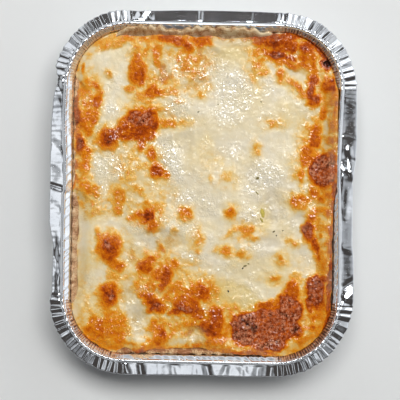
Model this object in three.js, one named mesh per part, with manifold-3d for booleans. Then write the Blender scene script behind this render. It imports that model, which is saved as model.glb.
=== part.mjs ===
// Baked beef lasagna in its oblong foil tray.
// Millimetres, +Z up. +X runs along the tray's short side and +Y along its long side.
// The origin lies under the middle of the tray, on the surface that it stands on.

import * as THREE from "three";
import { ParametricGeometry } from "three/addons/geometries/ParametricGeometry.js";
import { mergeGeometries, mergeVertices } from "three/addons/utils/BufferGeometryUtils.js";
import Module from "manifold-3d";

// Foil tray. "Out" is always measured outwards from the middle of the rim bead.
const BEAD_HALF_WIDTH = 121.3;
const BEAD_HALF_LENGTH = 149;
const BEAD_CORNER_RADIUS = 54;
const TRAY_HEIGHT = 58;
const FOIL = 0.7;
const FLOOR_EDGE_OUT = -18.4;
const WALL_FOOT_OUT = -15.2;
const WALL_FOOT_HEIGHT = 3.6;
const WALL_TOP_OUT = -5.3;
const WALL_TOP_DROP = 8.6;
const BEAD_WIDTH = 3.5;
const BEAD_RISE = 1.8;
const LIP_OUT = 11.9;
const LIP_DROOP = 0.5;
const HEM_DEPTH = 1.3;

// Pleats that gather the foil in the corners, and the slight waves of the straight lips.
const PLEATS_IN_HALF_CORNER = 7;
const PLEAT_LIFT = 0.9;
const PLEAT_DEPTH = 0.6;
const STEPS_ON_SHORT_SIDE = 6;
const STEPS_ON_LONG_SIDE = 8;
const STRAIGHT_WAVE = 0.25;
const LIP_BULGE = 1.2;

// Layers of the food, each from its underside to its top, with a little air between neighbours.
const AIR = 0.35;
const FILLING_TOP = 39.5;
const LOWER_PASTA_THICKNESS = 2.2;
const SAUCE_THICKNESS = 1.8;
const UPPER_PASTA_THICKNESS = 2.2;
const RUFFLE_STRIP = 9;
const RUFFLE_HEIGHT = 1.9;
const UPPER_RUFFLE_PITCH = 10;
const LOWER_RUFFLE_PITCH = 12.5;
const STEPS_IN_RUFFLE = 4;
const PASTA_EDGE_GAP = 0.5;
const EDGE_STRIP = 3.6;
const LOWER_EDGE_CURL = 2.4;
const CUT_EDGE_INSET = 4.2;
const CORNER_INSET = 1.5;

// Cheese topping.
const CHEESE_THICKNESS = 4;
const CHEESE_EDGE_THICKNESS = 1.6;
const CHEESE_EDGE_INSET = 4.3;
const CHEESE_EDGE_GAP = 0.8;
const CHEESE_CORNER_SPREAD = 3;
const CHEESE_SAG_STRIP = 16;
const CHEESE_CELLS_ACROSS = 34;
const CHEESE_CELLS_ALONG = 40;
const CHEESE_RISE_OVER_RUFFLE = 2.6;
const UNDULATION = 0.7;
const BLISTER_SCALE = 0.85;

// Blisters of the crust: middle, half width, half length, turn in degrees anticlockwise, and height.
const BLISTERS = [
  { at: [-53, 61], half: [19, 12], turn: 0, height: 2.2 },
  { at: [-85, 46], half: [11, 10], turn: 0, height: 1.9 },
  { at: [-60, 107], half: [6.5, 15], turn: 8, height: 1.5 },
  { at: [-46, 87], half: [7, 5], turn: 0, height: 1.2 },
  { at: [-103, 88], half: [8, 12], turn: 0, height: 1.2 },
  { at: [-108, 45], half: [5, 10], turn: 12, height: 1.2 },
  { at: [-102, 3], half: [9, 5], turn: -10, height: 1 },
  { at: [-73, -6], half: [7, 10], turn: 0, height: 0.8 },
  { at: [-41, 18], half: [7, 7], turn: 0, height: 1.4 },
  { at: [-49, -22], half: [8, 7], turn: 0, height: 1.6 },
  { at: [-16, -18], half: [7, 7], turn: 0, height: 1.5 },
  { at: [-82, -50], half: [11, 13], turn: 0, height: 2 },
  { at: [-81, -91], half: [8, 10], turn: 0, height: 1.6 },
  { at: [-50, -67], half: [8, 8], turn: 0, height: 1.2 },
  { at: [-31, -76], half: [6, 10], turn: 0, height: 1.2 },
  { at: [-41, -101], half: [13, 7], turn: -35, height: 1.6 },
  { at: [-16, -103], half: [12, 7], turn: 0, height: 1.6 },
  { at: [-84, -120], half: [19, 12], turn: 0, height: 1.2 },
  { at: [-34, -126], half: [7, 9], turn: 0, height: 1.2 },
  { at: [12, -118], half: [9, 15], turn: 0, height: 1.6 },
  { at: [60, -119], half: [31, 20], turn: 6, height: 2.4 },
  { at: [81, -82], half: [7, 9], turn: 0, height: 1.4 },
  { at: [102, -87], half: [9, 16], turn: 0, height: 2 },
  { at: [95, -33], half: [6, 15], turn: 0, height: 1.6 },
  { at: [106, 20], half: [11, 16], turn: 0, height: 2.2 },
  { at: [98, 50], half: [6, 11], turn: 0, height: 1.4 },
  { at: [88, 28], half: [5, 16], turn: 0, height: 1 },
  { at: [95, 90], half: [5, 14], turn: 0, height: 1.6 },
  { at: [110, 96], half: [6, 8], turn: 0, height: 1.6 },
  { at: [70, 128], half: [30, 10], turn: -12, height: 1.8 },
  { at: [83, -6], half: [9, 6], turn: 0, height: 1.2 },
  { at: [25, -19], half: [5, 6], turn: 0, height: 1.4 },
  { at: [41, -33], half: [7, 7], turn: 0, height: 1 },
];

// Thin places where the cheese has sunk between the blisters.
const HOLLOWS = [
  { at: [-35, 42], half: [6, 6], turn: 0, height: -1.2 },
  { at: [-38, 105], half: [6, 8], turn: 0, height: -1.2 },
  { at: [-57, -110], half: [8, 7], turn: 0, height: -1.2 },
  { at: [-2, -126], half: [8, 6], turn: 0, height: -1.6 },
];

// Places where the topping has run over the pasta edge to the foil: side, place along it, half width, reach.
const OVERFLOWS = [
  { side: 1, along: 0.29, half: 0.07, reach: 2.6 },
  { side: 1, along: 0.46, half: 0.03, reach: 2 },
  { side: 1, along: 0.52, half: 0.025, reach: 2 },
  { side: 2, along: 0.27, half: 0.05, reach: 2.4 },
  { side: 2, along: 0.76, half: 0.1, reach: 2.2 },
  { side: 3, along: 0.57, half: 0.08, reach: 2.8 },
  { side: 3, along: 0.8, half: 0.05, reach: 2.4 },
  { side: 0, along: 0.12, half: 0.12, reach: 1.8 },
];

// Herb and pepper flecks fused to the cheese: middle, length, width, turn.
const FLECK_THICKNESS = 2.2;
const FLECK_STANDS_PROUD = 0.5;
const FLECKS = [
  { at: [47.6, 13], length: 5, width: 3.6, turn: 35 },
  { at: [47.5, 0], length: 6.5, width: 1.8, turn: -45 },
  { at: [52.4, -20], length: 13, width: 4.4, turn: -80 },
  { at: [63, -34], length: 3.4, width: 2.4, turn: 30 },
  { at: [65.4, -37.4], length: 2, width: 1.6, turn: 80 },
  { at: [38, -65], length: 5, width: 2.2, turn: 10 },
  { at: [23.6, -87.6], length: 2.6, width: 1.8, turn: -70 },
];

const CORNER_CENTRE_X = BEAD_HALF_WIDTH - BEAD_CORNER_RADIUS;
const CORNER_CENTRE_Y = BEAD_HALF_LENGTH - BEAD_CORNER_RADIUS;
const HALF_CORNER_ARC = (BEAD_CORNER_RADIUS * Math.PI) / 4;
const SIDES = [0, 1, 2, 3];
const RANDOM_SEED = 7;

// A repeatable stream of numbers from 0 to 1, by the Lehmer rule.
function randomStream(seed) {
  const MODULUS = 2147483647;
  const FACTOR = 48271;
  let state = seed;
  return () => {
    state = (state * FACTOR) % MODULUS;
    return state / MODULUS;
  };
}

function mix(from, to, share) {
  return from + (to - from) * share;
}

function smooth(from, to, value) {
  return THREE.MathUtils.smoothstep(value, from, to);
}

// Half the straight stretch of a side. Sides 0 and 2 are the far and near short ones, 1 and 3 the left and right.
function halfStraight(side) {
  return side % 2 ? CORNER_CENTRE_Y : CORNER_CENTRE_X;
}

function sideLength(side) {
  return 2 * (halfStraight(side) + HALF_CORNER_ARC);
}

// A place on the outline that runs `out` outside the bead. `along` goes anticlockwise from the middle
// of one corner, 0, to the middle of the next, 1.
function onOutline(side, along, out) {
  const half = halfStraight(side);
  const other = halfStraight(side + 1);
  const travelled = along * sideLength(side);
  const onStraight = THREE.MathUtils.clamp(travelled - HALF_CORNER_ARC, 0, 2 * half);
  const turned = (travelled - HALF_CORNER_ARC - onStraight) / BEAD_CORNER_RADIUS;
  const facing = Math.PI / 2 + turned;
  const place = new THREE.Vector2(half - onStraight, other);
  const reach = BEAD_CORNER_RADIUS + out;
  place.add(new THREE.Vector2(Math.cos(facing), Math.sin(facing)).multiplyScalar(reach));
  return place.rotateAround(new THREE.Vector2(), (side * Math.PI) / 2);
}

// How far into a corner a place lies: 1 in its middle and 0 on the straight.
function cornerShare(side, along) {
  const fromMiddle = Math.min(along, 1 - along) * sideLength(side);
  return 1 - smooth(0.35 * HALF_CORNER_ARC, 1.1 * HALF_CORNER_ARC, fromMiddle);
}

function inCorner(side, along) {
  const fromMiddle = Math.min(along, 1 - along) * sideLength(side);
  return fromMiddle < HALF_CORNER_ARC + STRAIGHT_WAVE;
}

// The stations of one side: `cornerSteps` in each half corner and `straightSteps` between them.
function stationsOfSide(side, cornerSteps, straightSteps) {
  const length = sideLength(side);
  const straight = 2 * halfStraight(side);
  const stations = [];
  for (let i = 0; i < cornerSteps; i++) {
    stations.push({ side, along: ((i / cornerSteps) * HALF_CORNER_ARC) / length });
  }
  for (let i = 0; i < straightSteps; i++) {
    const travelled = HALF_CORNER_ARC + (i / straightSteps) * straight;
    stations.push({ side, along: travelled / length });
  }
  for (let i = 0; i < cornerSteps; i++) {
    const travelled = HALF_CORNER_ARC + straight + (i / cornerSteps) * HALF_CORNER_ARC;
    stations.push({ side, along: travelled / length });
  }
  return stations;
}

// A closed body through rings of places. The rows start and end in a single point, and they run outwards
// underneath and back inwards on top.
function loft(stations, rows) {
  const place = (u, v, target) => {
    const station = stations[Math.round(u * stations.length) % stations.length];
    const row = rows[Math.round(v * (rows.length - 1))];
    target.copy(row(station));
  };
  return new ParametricGeometry(place, stations.length, rows.length - 1);
}

function bare(geometry) {
  const copy = geometry.clone();
  copy.deleteAttribute("normal");
  copy.deleteAttribute("uv");
  return mergeVertices(copy, 1e-3);
}

function mesh(name, geometry, colour, roughness, metalness) {
  const material = new THREE.MeshStandardMaterial({ color: colour, roughness, metalness });
  const made = new THREE.Mesh(geometry, material);
  made.name = name;
  return made;
}

// Tray section on its inner side, from the floor's edge up the wall, over the shoulder and the bead to the hem. `pleat`
// and `lift` say how strongly the corner pleats move a line outwards and upwards.
const BEAD_FOOT = TRAY_HEIGHT - BEAD_RISE;
const WALL_TOP = TRAY_HEIGHT - WALL_TOP_DROP;
const WALL_MIDDLE = (WALL_FOOT_HEIGHT + WALL_TOP) / 2;
const WALL_MIDDLE_OUT = (WALL_FOOT_OUT + WALL_TOP_OUT) / 2;
const INNER_SECTION = [
  { out: FLOOR_EDGE_OUT, up: FOIL, pleat: 0, lift: 0 },
  { out: WALL_FOOT_OUT, up: WALL_FOOT_HEIGHT, pleat: 0, lift: 0 },
  { out: WALL_MIDDLE_OUT, up: WALL_MIDDLE, pleat: 0.4, lift: 0 },
  { out: WALL_TOP_OUT, up: WALL_TOP, pleat: 0.9, lift: 0 },
  { out: 0.4 - BEAD_WIDTH / 2, up: BEAD_FOOT - 0.6, pleat: 0.5, lift: 0.2 },
  { out: 0, up: TRAY_HEIGHT, pleat: 0.4, lift: 0.2 },
  { out: BEAD_WIDTH / 2, up: BEAD_FOOT, pleat: 0.4, lift: 0.4 },
  { out: 0.55 * LIP_OUT, up: BEAD_FOOT - 0.2, pleat: 0.4, lift: 0.9 },
  { out: LIP_OUT, up: BEAD_FOOT - LIP_DROOP, pleat: 1, lift: 1 },
  { out: LIP_OUT + FOIL, up: BEAD_FOOT - LIP_DROOP - HEM_DEPTH, pleat: 1, lift: 1 },
];

// The same section one foil thickness further out and down, from the floor's edge to the hem.
const OUTER_SECTION = [
  { out: FLOOR_EDGE_OUT + 0.3, up: 0, pleat: 0, lift: 0 },
  { out: WALL_FOOT_OUT + FOIL, up: WALL_FOOT_HEIGHT - 0.3, pleat: 0, lift: 0 },
  { out: WALL_MIDDLE_OUT + FOIL, up: WALL_MIDDLE - 0.2, pleat: 0.4, lift: 0 },
  { out: WALL_TOP_OUT + FOIL, up: WALL_TOP - 0.3, pleat: 0.9, lift: 0 },
  { out: 0.7 - BEAD_WIDTH / 2 + FOIL, up: BEAD_FOOT - 0.9, pleat: 0.5, lift: 0.2 },
  { out: 0, up: TRAY_HEIGHT - 1.2 * FOIL, pleat: 0.4, lift: 0.2 },
  { out: BEAD_WIDTH / 2 - 0.3, up: BEAD_FOOT - FOIL, pleat: 0.4, lift: 0.4 },
  { out: 0.55 * LIP_OUT, up: BEAD_FOOT - 0.2 - FOIL, pleat: 0.4, lift: 0.9 },
  { out: LIP_OUT - 0.1, up: BEAD_FOOT - LIP_DROOP - HEM_DEPTH - 0.1, pleat: 1, lift: 1 },
];

// The tray's stations, each with its fold: the sign says whether the pleat stands up or lies down there.
function trayStations() {
  const random = randomStream(RANDOM_SEED);
  const cornerSteps = 2 * PLEATS_IN_HALF_CORNER;
  const stations = SIDES.flatMap((side) =>
    stationsOfSide(side, cornerSteps, side % 2 ? STEPS_ON_LONG_SIDE : STEPS_ON_SHORT_SIDE),
  );
  return stations.map((station, i) => {
    const size = inCorner(station.side, station.along) ? mix(0.55, 1, random()) : STRAIGHT_WAVE * random();
    return { ...station, fold: i % 2 ? size : -size };
  });
}

// The lip's own slight bulge outwards, which differs from side to side.
function lipBulge(side, along) {
  const inMiddle = smooth(0.2, 0.4, along) * (1 - smooth(0.6, 0.85, along));
  return [0.2, LIP_BULGE, 0.6, -0.5][side] * inMiddle;
}

function foilPoint(line) {
  return (station) => {
    const lip = smooth(BEAD_WIDTH / 2, LIP_OUT, line.out);
    const out = line.out + PLEAT_DEPTH * line.pleat * station.fold + lip * lipBulge(station.side, station.along);
    const { x, y } = onOutline(station.side, station.along, out);
    return new THREE.Vector3(x, y, line.up + PLEAT_LIFT * line.lift * station.fold);
  };
}

function makeTray(stations) {
  const bottomMiddle = new THREE.Vector3(0, 0, 0);
  const floorMiddle = new THREE.Vector3(0, 0, FOIL);
  const rows = [
    () => bottomMiddle,
    ...OUTER_SECTION.map(foilPoint),
    ...INNER_SECTION.toReversed().map(foilPoint),
    () => floorMiddle,
  ];
  return loft(stations, rows);
}

// How far out the tray's inner face lies at a height, with the reach of the pleats at that station taken off.
function wallOut(height, station) {
  const above = INNER_SECTION.findIndex((line) => line.up > height);
  const [low, high] = [INNER_SECTION[above - 1], INNER_SECTION[above]];
  const share = (height - low.up) / (high.up - low.up);
  const fold = inCorner(station.side, station.along) ? 1 : STRAIGHT_WAVE;
  return mix(low.out, high.out, share) - PLEAT_DEPTH * fold * mix(low.pleat, high.pleat, share);
}

// A station in the middle of a straight side.
const OPEN_STATION = { side: 0, along: 0.5 };

function foodPoint(station, out, up) {
  const { x, y } = onOutline(station.side, station.along, out);
  return new THREE.Vector3(x, y, up);
}

// The filling fills the tray from its floor to under the lower sheet, and drops a little along the wall.
function makeFilling(stations) {
  const foot = FOIL + AIR;
  const edgeTop = FILLING_TOP - RUFFLE_HEIGHT - LOWER_PASTA_THICKNESS / 2;
  const rows = [
    () => new THREE.Vector3(0, 0, foot),
    (s) => foodPoint(s, FLOOR_EDGE_OUT - AIR, foot),
    (s) => foodPoint(s, wallOut(WALL_FOOT_HEIGHT + 1, s) - AIR, WALL_FOOT_HEIGHT + 1),
    (s) => foodPoint(s, wallOut(edgeTop, s) - AIR, edgeTop),
    (s) => foodPoint(s, wallOut(FILLING_TOP, s) - RUFFLE_STRIP - CUT_EDGE_INSET - 1, FILLING_TOP),
    () => new THREE.Vector3(0, 0, FILLING_TOP),
  ];
  return loft(stations, rows);
}

// A pasta sheet. Two opposite edges are ruffled, reach the wall and curl up a little along a narrow strip, and
// the other two are cut and end earlier.
function makePasta(bottom, thickness, ruffledSides, pitch, curl) {
  const middle = bottom + thickness / 2;
  const stations = SIDES.flatMap((side) => {
    const waves = Math.round((2 * halfStraight(side)) / pitch);
    const steps = ruffledSides.includes(side) ? waves * STEPS_IN_RUFFLE : 2;
    return stationsOfSide(side, 4, steps).map((station) => {
      const travelled = station.along * sideLength(side) - HALF_CORNER_ARC;
      const onRuffle = ruffledSides.includes(side) && travelled >= 0 && travelled <= 2 * halfStraight(side);
      const wave = onRuffle ? Math.sin((2 * Math.PI * travelled) / (2 * halfStraight(side) / waves)) : 0;
      return { ...station, wave, cut: !ruffledSides.includes(side) };
    });
  });
  const edge = (s, lift) => {
    const corner = cornerShare(s.side, s.along);
    const up = middle + lift + RUFFLE_HEIGHT * s.wave + (s.cut ? 0 : curl * (1 - corner));
    const inset = mix(s.cut ? CUT_EDGE_INSET : 0, CORNER_INSET, corner);
    return foodPoint(s, wallOut(up, s) - PASTA_EDGE_GAP - inset, up);
  };
  const strip = (s, lift) => {
    const up = middle + lift + 0.6 * RUFFLE_HEIGHT * s.wave;
    return foodPoint(s, wallOut(middle, s) - CUT_EDGE_INSET - EDGE_STRIP / 2, up);
  };
  const innerOut = (s) => wallOut(middle, s) - RUFFLE_STRIP - CUT_EDGE_INSET;
  const rows = [
    () => new THREE.Vector3(0, 0, bottom),
    (s) => foodPoint(s, innerOut(s), bottom),
    (s) => strip(s, -thickness / 2),
    (s) => edge(s, -thickness / 2),
    (s) => edge(s, thickness / 2),
    (s) => strip(s, thickness / 2),
    (s) => foodPoint(s, innerOut(s), bottom + thickness),
    () => new THREE.Vector3(0, 0, bottom + thickness),
  ];
  return loft(stations, rows);
}

// The sauce between the two sheets ends inside the ruffles.
function makeSauce(bottom, top) {
  const stations = SIDES.flatMap((side) => stationsOfSide(side, 5, 2));
  const out = (s) => wallOut(bottom, s) - RUFFLE_STRIP - CUT_EDGE_INSET;
  const rows = [
    () => new THREE.Vector3(0, 0, bottom),
    (s) => foodPoint(s, out(s), bottom),
    (s) => foodPoint(s, out(s), top),
    () => new THREE.Vector3(0, 0, top),
  ];
  return loft(stations, rows);
}

// Where a patch bulges or sinks: its full height in the middle, fading to nothing past its half sizes.
function patchHeight(patch, x, y) {
  const place = new THREE.Vector2(x - patch.at[0], y - patch.at[1]);
  place.rotateAround(new THREE.Vector2(), -THREE.MathUtils.degToRad(patch.turn));
  const away = Math.hypot(place.x / patch.half[0], place.y / patch.half[1]);
  return BLISTER_SCALE * patch.height * (1 - smooth(0.35, 1.35, away));
}

// Long slow waves in the surface, with wavelengths that never meet.
function undulation(x, y) {
  const broad = Math.sin(x / 11.3 + 1.7 * Math.sin(y / 23.9));
  const across = Math.sin(y / 9.1 + 1.3 * Math.sin(x / 17.7));
  const slanted = Math.sin((x - y) / 6.7 + 0.8);
  return UNDULATION * (0.5 * broad + 0.35 * across + 0.25 * slanted);
}

// The edge of the topping is uneven, and in some places it has run over the pasta to the foil.
function cheeseEdgeOut(side, along) {
  const travelled = along * sideLength(side);
  const phase = side * 1.9;
  const uneven = 1.1 * Math.sin(travelled / 7.7 + phase) + 0.8 * Math.sin(travelled / 3.9 + 2 * phase);
  const faded = uneven * (1 - smooth(0.93, 1, along)) * smooth(0, 0.07, along);
  const overflow = OVERFLOWS.filter((run) => run.side === side).reduce((sum, run) => {
    const away = Math.abs(along - run.along) / run.half;
    return sum + run.reach * (1 - smooth(0.4, 1.2, away));
  }, 0);
  const inset = CHEESE_EDGE_INSET - CHEESE_CORNER_SPREAD * cornerShare(side, along);
  const wall = wallOut(CHEESE_BOTTOM, { side, along });
  return Math.min(wall - inset + faded + overflow, wall - CHEESE_EDGE_GAP);
}

function cheeseTop(x, y, fromEdge) {
  const sag = (1 - smooth(0, CHEESE_SAG_STRIP, fromEdge)) ** 2;
  const bumps = [...BLISTERS, ...HOLLOWS].reduce((sum, patch) => sum + patchHeight(patch, x, y), 0);
  const full = CHEESE_THICKNESS + undulation(x, y) + bumps;
  return CHEESE_BOTTOM + mix(full, CHEESE_EDGE_THICKNESS, sag);
}

// Along the far and near sides the topping lies on the ruffles, and its underside and its edge are lifted there.
function ruffleRise(side, along) {
  return side % 2 ? 0 : CHEESE_RISE_OVER_RUFFLE * (1 - cornerShare(side, along));
}

function squarePlace(u, v) {
  if (v >= Math.abs(u) && v > -u) return { side: 0, along: (1 - u / v) / 2, ring: v };
  if (-u >= Math.abs(v) && -u > -v) return { side: 1, along: (1 + v / u) / 2, ring: -u };
  if (-v >= Math.abs(u) && -v > u) return { side: 2, along: (1 - u / v) / 2, ring: -v };
  return { side: 3, along: (1 + v / u) / 2, ring: u };
}

const CHEESE_CELLS = [CHEESE_CELLS_ACROSS, CHEESE_CELLS_ALONG, CHEESE_CELLS_ACROSS, CHEESE_CELLS_ALONG];

// On the rim itself a place snaps to its station, so that the upper face and the underside share it exactly.
function snapped(side, along, ring) {
  return ring > 1 - 1e-6 ? Math.round(along * CHEESE_CELLS[side]) / CHEESE_CELLS[side] : along;
}

// The topping's upper face: a square grid spread over the outline, ring by ring.
function makeCheeseTop() {
  const face = new THREE.PlaneGeometry(2, 2, CHEESE_CELLS_ACROSS, CHEESE_CELLS_ALONG);
  const position = face.attributes.position;
  for (let i = 0; i < position.count; i++) {
    const { side, along: rough, ring } = squarePlace(position.getX(i), position.getY(i));
    const along = snapped(side, rough, ring);
    const isMiddle = Math.abs(ring) < 1e-6;
    const edgeOut = isMiddle ? 0 : cheeseEdgeOut(side, along);
    const edge = isMiddle ? new THREE.Vector2() : onOutline(side, along, edgeOut);
    const place = edge.clone().multiplyScalar(isMiddle ? 0 : ring);
    const fromEdge = edge.length() * (1 - ring);
    const rise = isMiddle ? 0 : ruffleRise(side, along) * (1 - smooth(0, CHEESE_SAG_STRIP, fromEdge));
    position.setXYZ(i, place.x, place.y, cheeseTop(place.x, place.y, fromEdge) + rise);
  }
  return face;
}

// The topping's underside and its edge, closed along the rim of the upper face.
function makeCheeseUnderside() {
  const stations = SIDES.flatMap((side) =>
    Array.from({ length: CHEESE_CELLS[side] }, (_, i) => ({ side, along: i / CHEESE_CELLS[side] })),
  );
  const edgeOut = (s) => cheeseEdgeOut(s.side, s.along);
  const flatOut = wallOut(CHEESE_BOTTOM, OPEN_STATION) - RUFFLE_STRIP - CUT_EDGE_INSET;
  const edgeTop = (s) => {
    const { x, y } = onOutline(s.side, s.along, edgeOut(s));
    return new THREE.Vector3(x, y, cheeseTop(x, y, 0) + ruffleRise(s.side, s.along));
  };
  const rows = [
    () => new THREE.Vector3(0, 0, CHEESE_BOTTOM),
    (s) => foodPoint(s, flatOut, CHEESE_BOTTOM),
    (s) => foodPoint(s, edgeOut(s), CHEESE_BOTTOM + ruffleRise(s.side, s.along)),
    edgeTop,
  ];
  return loft(stations, rows);
}

function leafGeometry(fleck) {
  const outline = new THREE.EllipseCurve(0, 0, fleck.length / 2, fleck.width / 2).getPoints(6).slice(0, -1);
  const options = { depth: FLECK_THICKNESS, steps: 1, bevelEnabled: false };
  const leaf = new THREE.ExtrudeGeometry(new THREE.Shape(outline), options);
  const [x, y] = fleck.at;
  const top = cheeseTop(x, y, CHEESE_SAG_STRIP) + FLECK_STANDS_PROUD;
  return leaf.rotateZ(THREE.MathUtils.degToRad(fleck.turn)).translate(x, y, top - FLECK_THICKNESS);
}

async function fused(geometries) {
  const wasm = await Module();
  wasm.setup();
  const solids = geometries.map((geometry) => {
    const plain = bare(geometry);
    const vertProperties = new Float32Array(plain.attributes.position.array);
    const triVerts = new Uint32Array(plain.index.array);
    return new wasm.Manifold(new wasm.Mesh({ numProp: 3, vertProperties, triVerts }));
  });
  const joined = solids.reduce((whole, solid) => whole.add(solid)).getMesh();
  const geometry = new THREE.BufferGeometry();
  geometry.setAttribute("position", new THREE.BufferAttribute(joined.vertProperties, 3));
  geometry.setIndex(new THREE.BufferAttribute(joined.triVerts, 1));
  geometry.computeVertexNormals();
  return geometry;
}

const LOWER_PASTA_BOTTOM = FILLING_TOP + AIR;
const SAUCE_BOTTOM = LOWER_PASTA_BOTTOM + LOWER_PASTA_THICKNESS + AIR;
const UPPER_PASTA_BOTTOM = SAUCE_BOTTOM + SAUCE_THICKNESS + AIR;
const CHEESE_BOTTOM = UPPER_PASTA_BOTTOM + UPPER_PASTA_THICKNESS + AIR;

const foil = trayStations();
const tray = mesh("foil_tray", makeTray(foil), 0xc4c6c8, 0.3, 1);
const filling = mesh("beef_filling", makeFilling(foil), 0x8a4427, 0.6, 0);
const lowerPasta = mesh(
  "pasta_sheet_lower",
  makePasta(LOWER_PASTA_BOTTOM, LOWER_PASTA_THICKNESS, [1, 3], LOWER_RUFFLE_PITCH, LOWER_EDGE_CURL),
  0xc99a6b,
  0.5,
  0,
);
const sauce = mesh("beef_sauce", makeSauce(SAUCE_BOTTOM, SAUCE_BOTTOM + SAUCE_THICKNESS), 0x9c4a26, 0.5, 0);
const upperPasta = mesh(
  "pasta_sheet_upper",
  makePasta(UPPER_PASTA_BOTTOM, UPPER_PASTA_THICKNESS, [0, 2], UPPER_RUFFLE_PITCH, 0),
  0xd9b98a,
  0.5,
  0,
);
const cheeseBody = mergeGeometries([bare(makeCheeseTop()), bare(makeCheeseUnderside())]);
const cheese = mesh("cheese_topping", await fused([cheeseBody, ...FLECKS.map(leafGeometry)]), 0xe2bf86, 0.35, 0);

// The lips bulge by different amounts, so the whole is moved until its outer sizes lie even about the origin.
const whole = new THREE.Group();
whole.add(tray, filling, lowerPasta, sauce, upperPasta, cheese);
const middle = new THREE.Box3().setFromObject(tray).getCenter(new THREE.Vector3());
whole.position.set(-middle.x, -middle.y, 0);

const lasagna = new THREE.Group();
lasagna.add(whole);

export default lasagna;
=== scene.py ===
# %% [markdown]
# # Baked beef lasagna in a foil tray
#
# The real object is a foil tray that was pressed from one thin sheet, with layers of minced beef, pasta
# and sauce inside and a crust of melted cheese on top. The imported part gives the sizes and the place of
# each layer. Here each visible layer gets a finer surface and its own material. All sizes below are in
# millimetres, and they are turned into metres in the one helper that writes a mesh.

# %% Load the frame and the tools
import math

import bmesh
import bpy
import numpy as np
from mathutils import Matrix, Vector, noise


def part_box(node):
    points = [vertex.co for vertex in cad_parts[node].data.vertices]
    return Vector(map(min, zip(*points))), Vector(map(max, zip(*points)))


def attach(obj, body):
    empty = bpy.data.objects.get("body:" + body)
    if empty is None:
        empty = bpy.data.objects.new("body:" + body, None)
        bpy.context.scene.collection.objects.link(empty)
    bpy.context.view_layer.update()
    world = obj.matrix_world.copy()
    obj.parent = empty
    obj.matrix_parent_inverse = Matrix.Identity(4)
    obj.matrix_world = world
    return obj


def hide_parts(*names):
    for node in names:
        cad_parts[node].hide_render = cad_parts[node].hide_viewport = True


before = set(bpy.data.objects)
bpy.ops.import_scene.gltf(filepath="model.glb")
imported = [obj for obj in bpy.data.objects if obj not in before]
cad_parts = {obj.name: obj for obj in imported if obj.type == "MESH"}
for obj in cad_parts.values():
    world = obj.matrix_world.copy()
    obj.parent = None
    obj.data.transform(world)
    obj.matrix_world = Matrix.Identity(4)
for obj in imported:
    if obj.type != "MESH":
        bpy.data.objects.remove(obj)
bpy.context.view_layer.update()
MM = 0.001

# %% [markdown]
# ## The outline that everything shares
#
# Every ring of this object is the same rounded oblong, moved outwards or inwards. One function that turns
# "how far along the outline" and "how far out" into a place is enough for the tray, the pasta and the
# crust. A curve object with a bevel could carry the rim, but then the food couldn't follow it, so plain
# arithmetic is used. The outline isn't quite centred, because the lips bulge by different amounts, and
# the filling's box says where its middle is.

# %% The outline
BEAD_HALF_WIDTH = 121.3
BEAD_HALF_LENGTH = 149.0
BEAD_CORNER_RADIUS = 54.0
TRAY_HEIGHT = 58.0
CORNER_CENTRE_X = BEAD_HALF_WIDTH - BEAD_CORNER_RADIUS
CORNER_CENTRE_Y = BEAD_HALF_LENGTH - BEAD_CORNER_RADIUS
HALF_CORNER_ARC = BEAD_CORNER_RADIUS * math.pi / 4
filling_low, filling_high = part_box("beef_filling")
MIDDLE_X = (filling_low.x + filling_high.x) / 2 / MM
MIDDLE_Y = (filling_low.y + filling_high.y) / 2 / MM
# The tables of dents and patches below are measured from a point this far from the origin
TABLE_SHIFT = (1.2, 1.0)
print("outline centred on", round(MIDDLE_X, 2), round(MIDDLE_Y, 2))


def smooth(start, end, value):
    """0 before start, 1 after end, and an S curve between them."""
    share = np.clip((value - start) / (end - start), 0, 1)
    return share * share * (3 - 2 * share)


def mix(start, end, share):
    return start + (end - start) * share


def half_straight(side):
    """Half the straight stretch of a side: 0 far, 1 left, 2 near, 3 right."""
    return np.where(np.asarray(side) % 2 == 1, CORNER_CENTRE_Y, CORNER_CENTRE_X)


def side_length(side):
    return 2 * (half_straight(side) + HALF_CORNER_ARC)


def on_outline(side, along, out):
    """Places `out` outside the bead. `along` runs anticlockwise from one corner's middle to the next."""
    half = half_straight(side)
    travelled = along * side_length(side)
    on_straight = np.clip(travelled - HALF_CORNER_ARC, 0, 2 * half)
    facing = math.pi / 2 + (travelled - HALF_CORNER_ARC - on_straight) / BEAD_CORNER_RADIUS
    x = half - on_straight + (BEAD_CORNER_RADIUS + out) * np.cos(facing)
    y = half_straight(side + 1) + (BEAD_CORNER_RADIUS + out) * np.sin(facing)
    turn = side * math.pi / 2
    return (
        x * np.cos(turn) - y * np.sin(turn) + MIDDLE_X,
        x * np.sin(turn) + y * np.cos(turn) + MIDDLE_Y,
    )


def out_of(x, y):
    """How far outside the bead any place lies, and how far into a corner it is, from 0 to 1."""
    past_x = np.abs(x - MIDDLE_X) - CORNER_CENTRE_X
    past_y = np.abs(y - MIDDLE_Y) - CORNER_CENTRE_Y
    out = np.hypot(np.maximum(past_x, 0), np.maximum(past_y, 0)) + np.minimum(np.maximum(past_x, past_y), 0)
    corner = smooth(-8, 8, past_x) * smooth(-8, 8, past_y)
    return out - BEAD_CORNER_RADIUS, corner


# %% [markdown]
# ## Turning a flat grid into a shape
#
# A lathe or a screw only makes round things. This outline is oblong, so each layer starts as a flat grid
# from bmesh, whose columns go round the outline and whose rows go across the section. Then the vertices
# are moved to their places, and the seam and the two ends are merged. The grid operator makes all the
# faces, so the result is closed and even.


# %% Helpers that make a mesh
def new_piece(name, bm):
    """An object at the origin that holds the bmesh, shaded smoothly."""
    for face in bm.faces:
        face.smooth = True
    mesh = bpy.data.meshes.new(name)
    bm.to_mesh(mesh)
    bm.free()
    piece = bpy.data.objects.new(name, mesh)
    bpy.context.scene.collection.objects.link(piece)
    return piece


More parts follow.
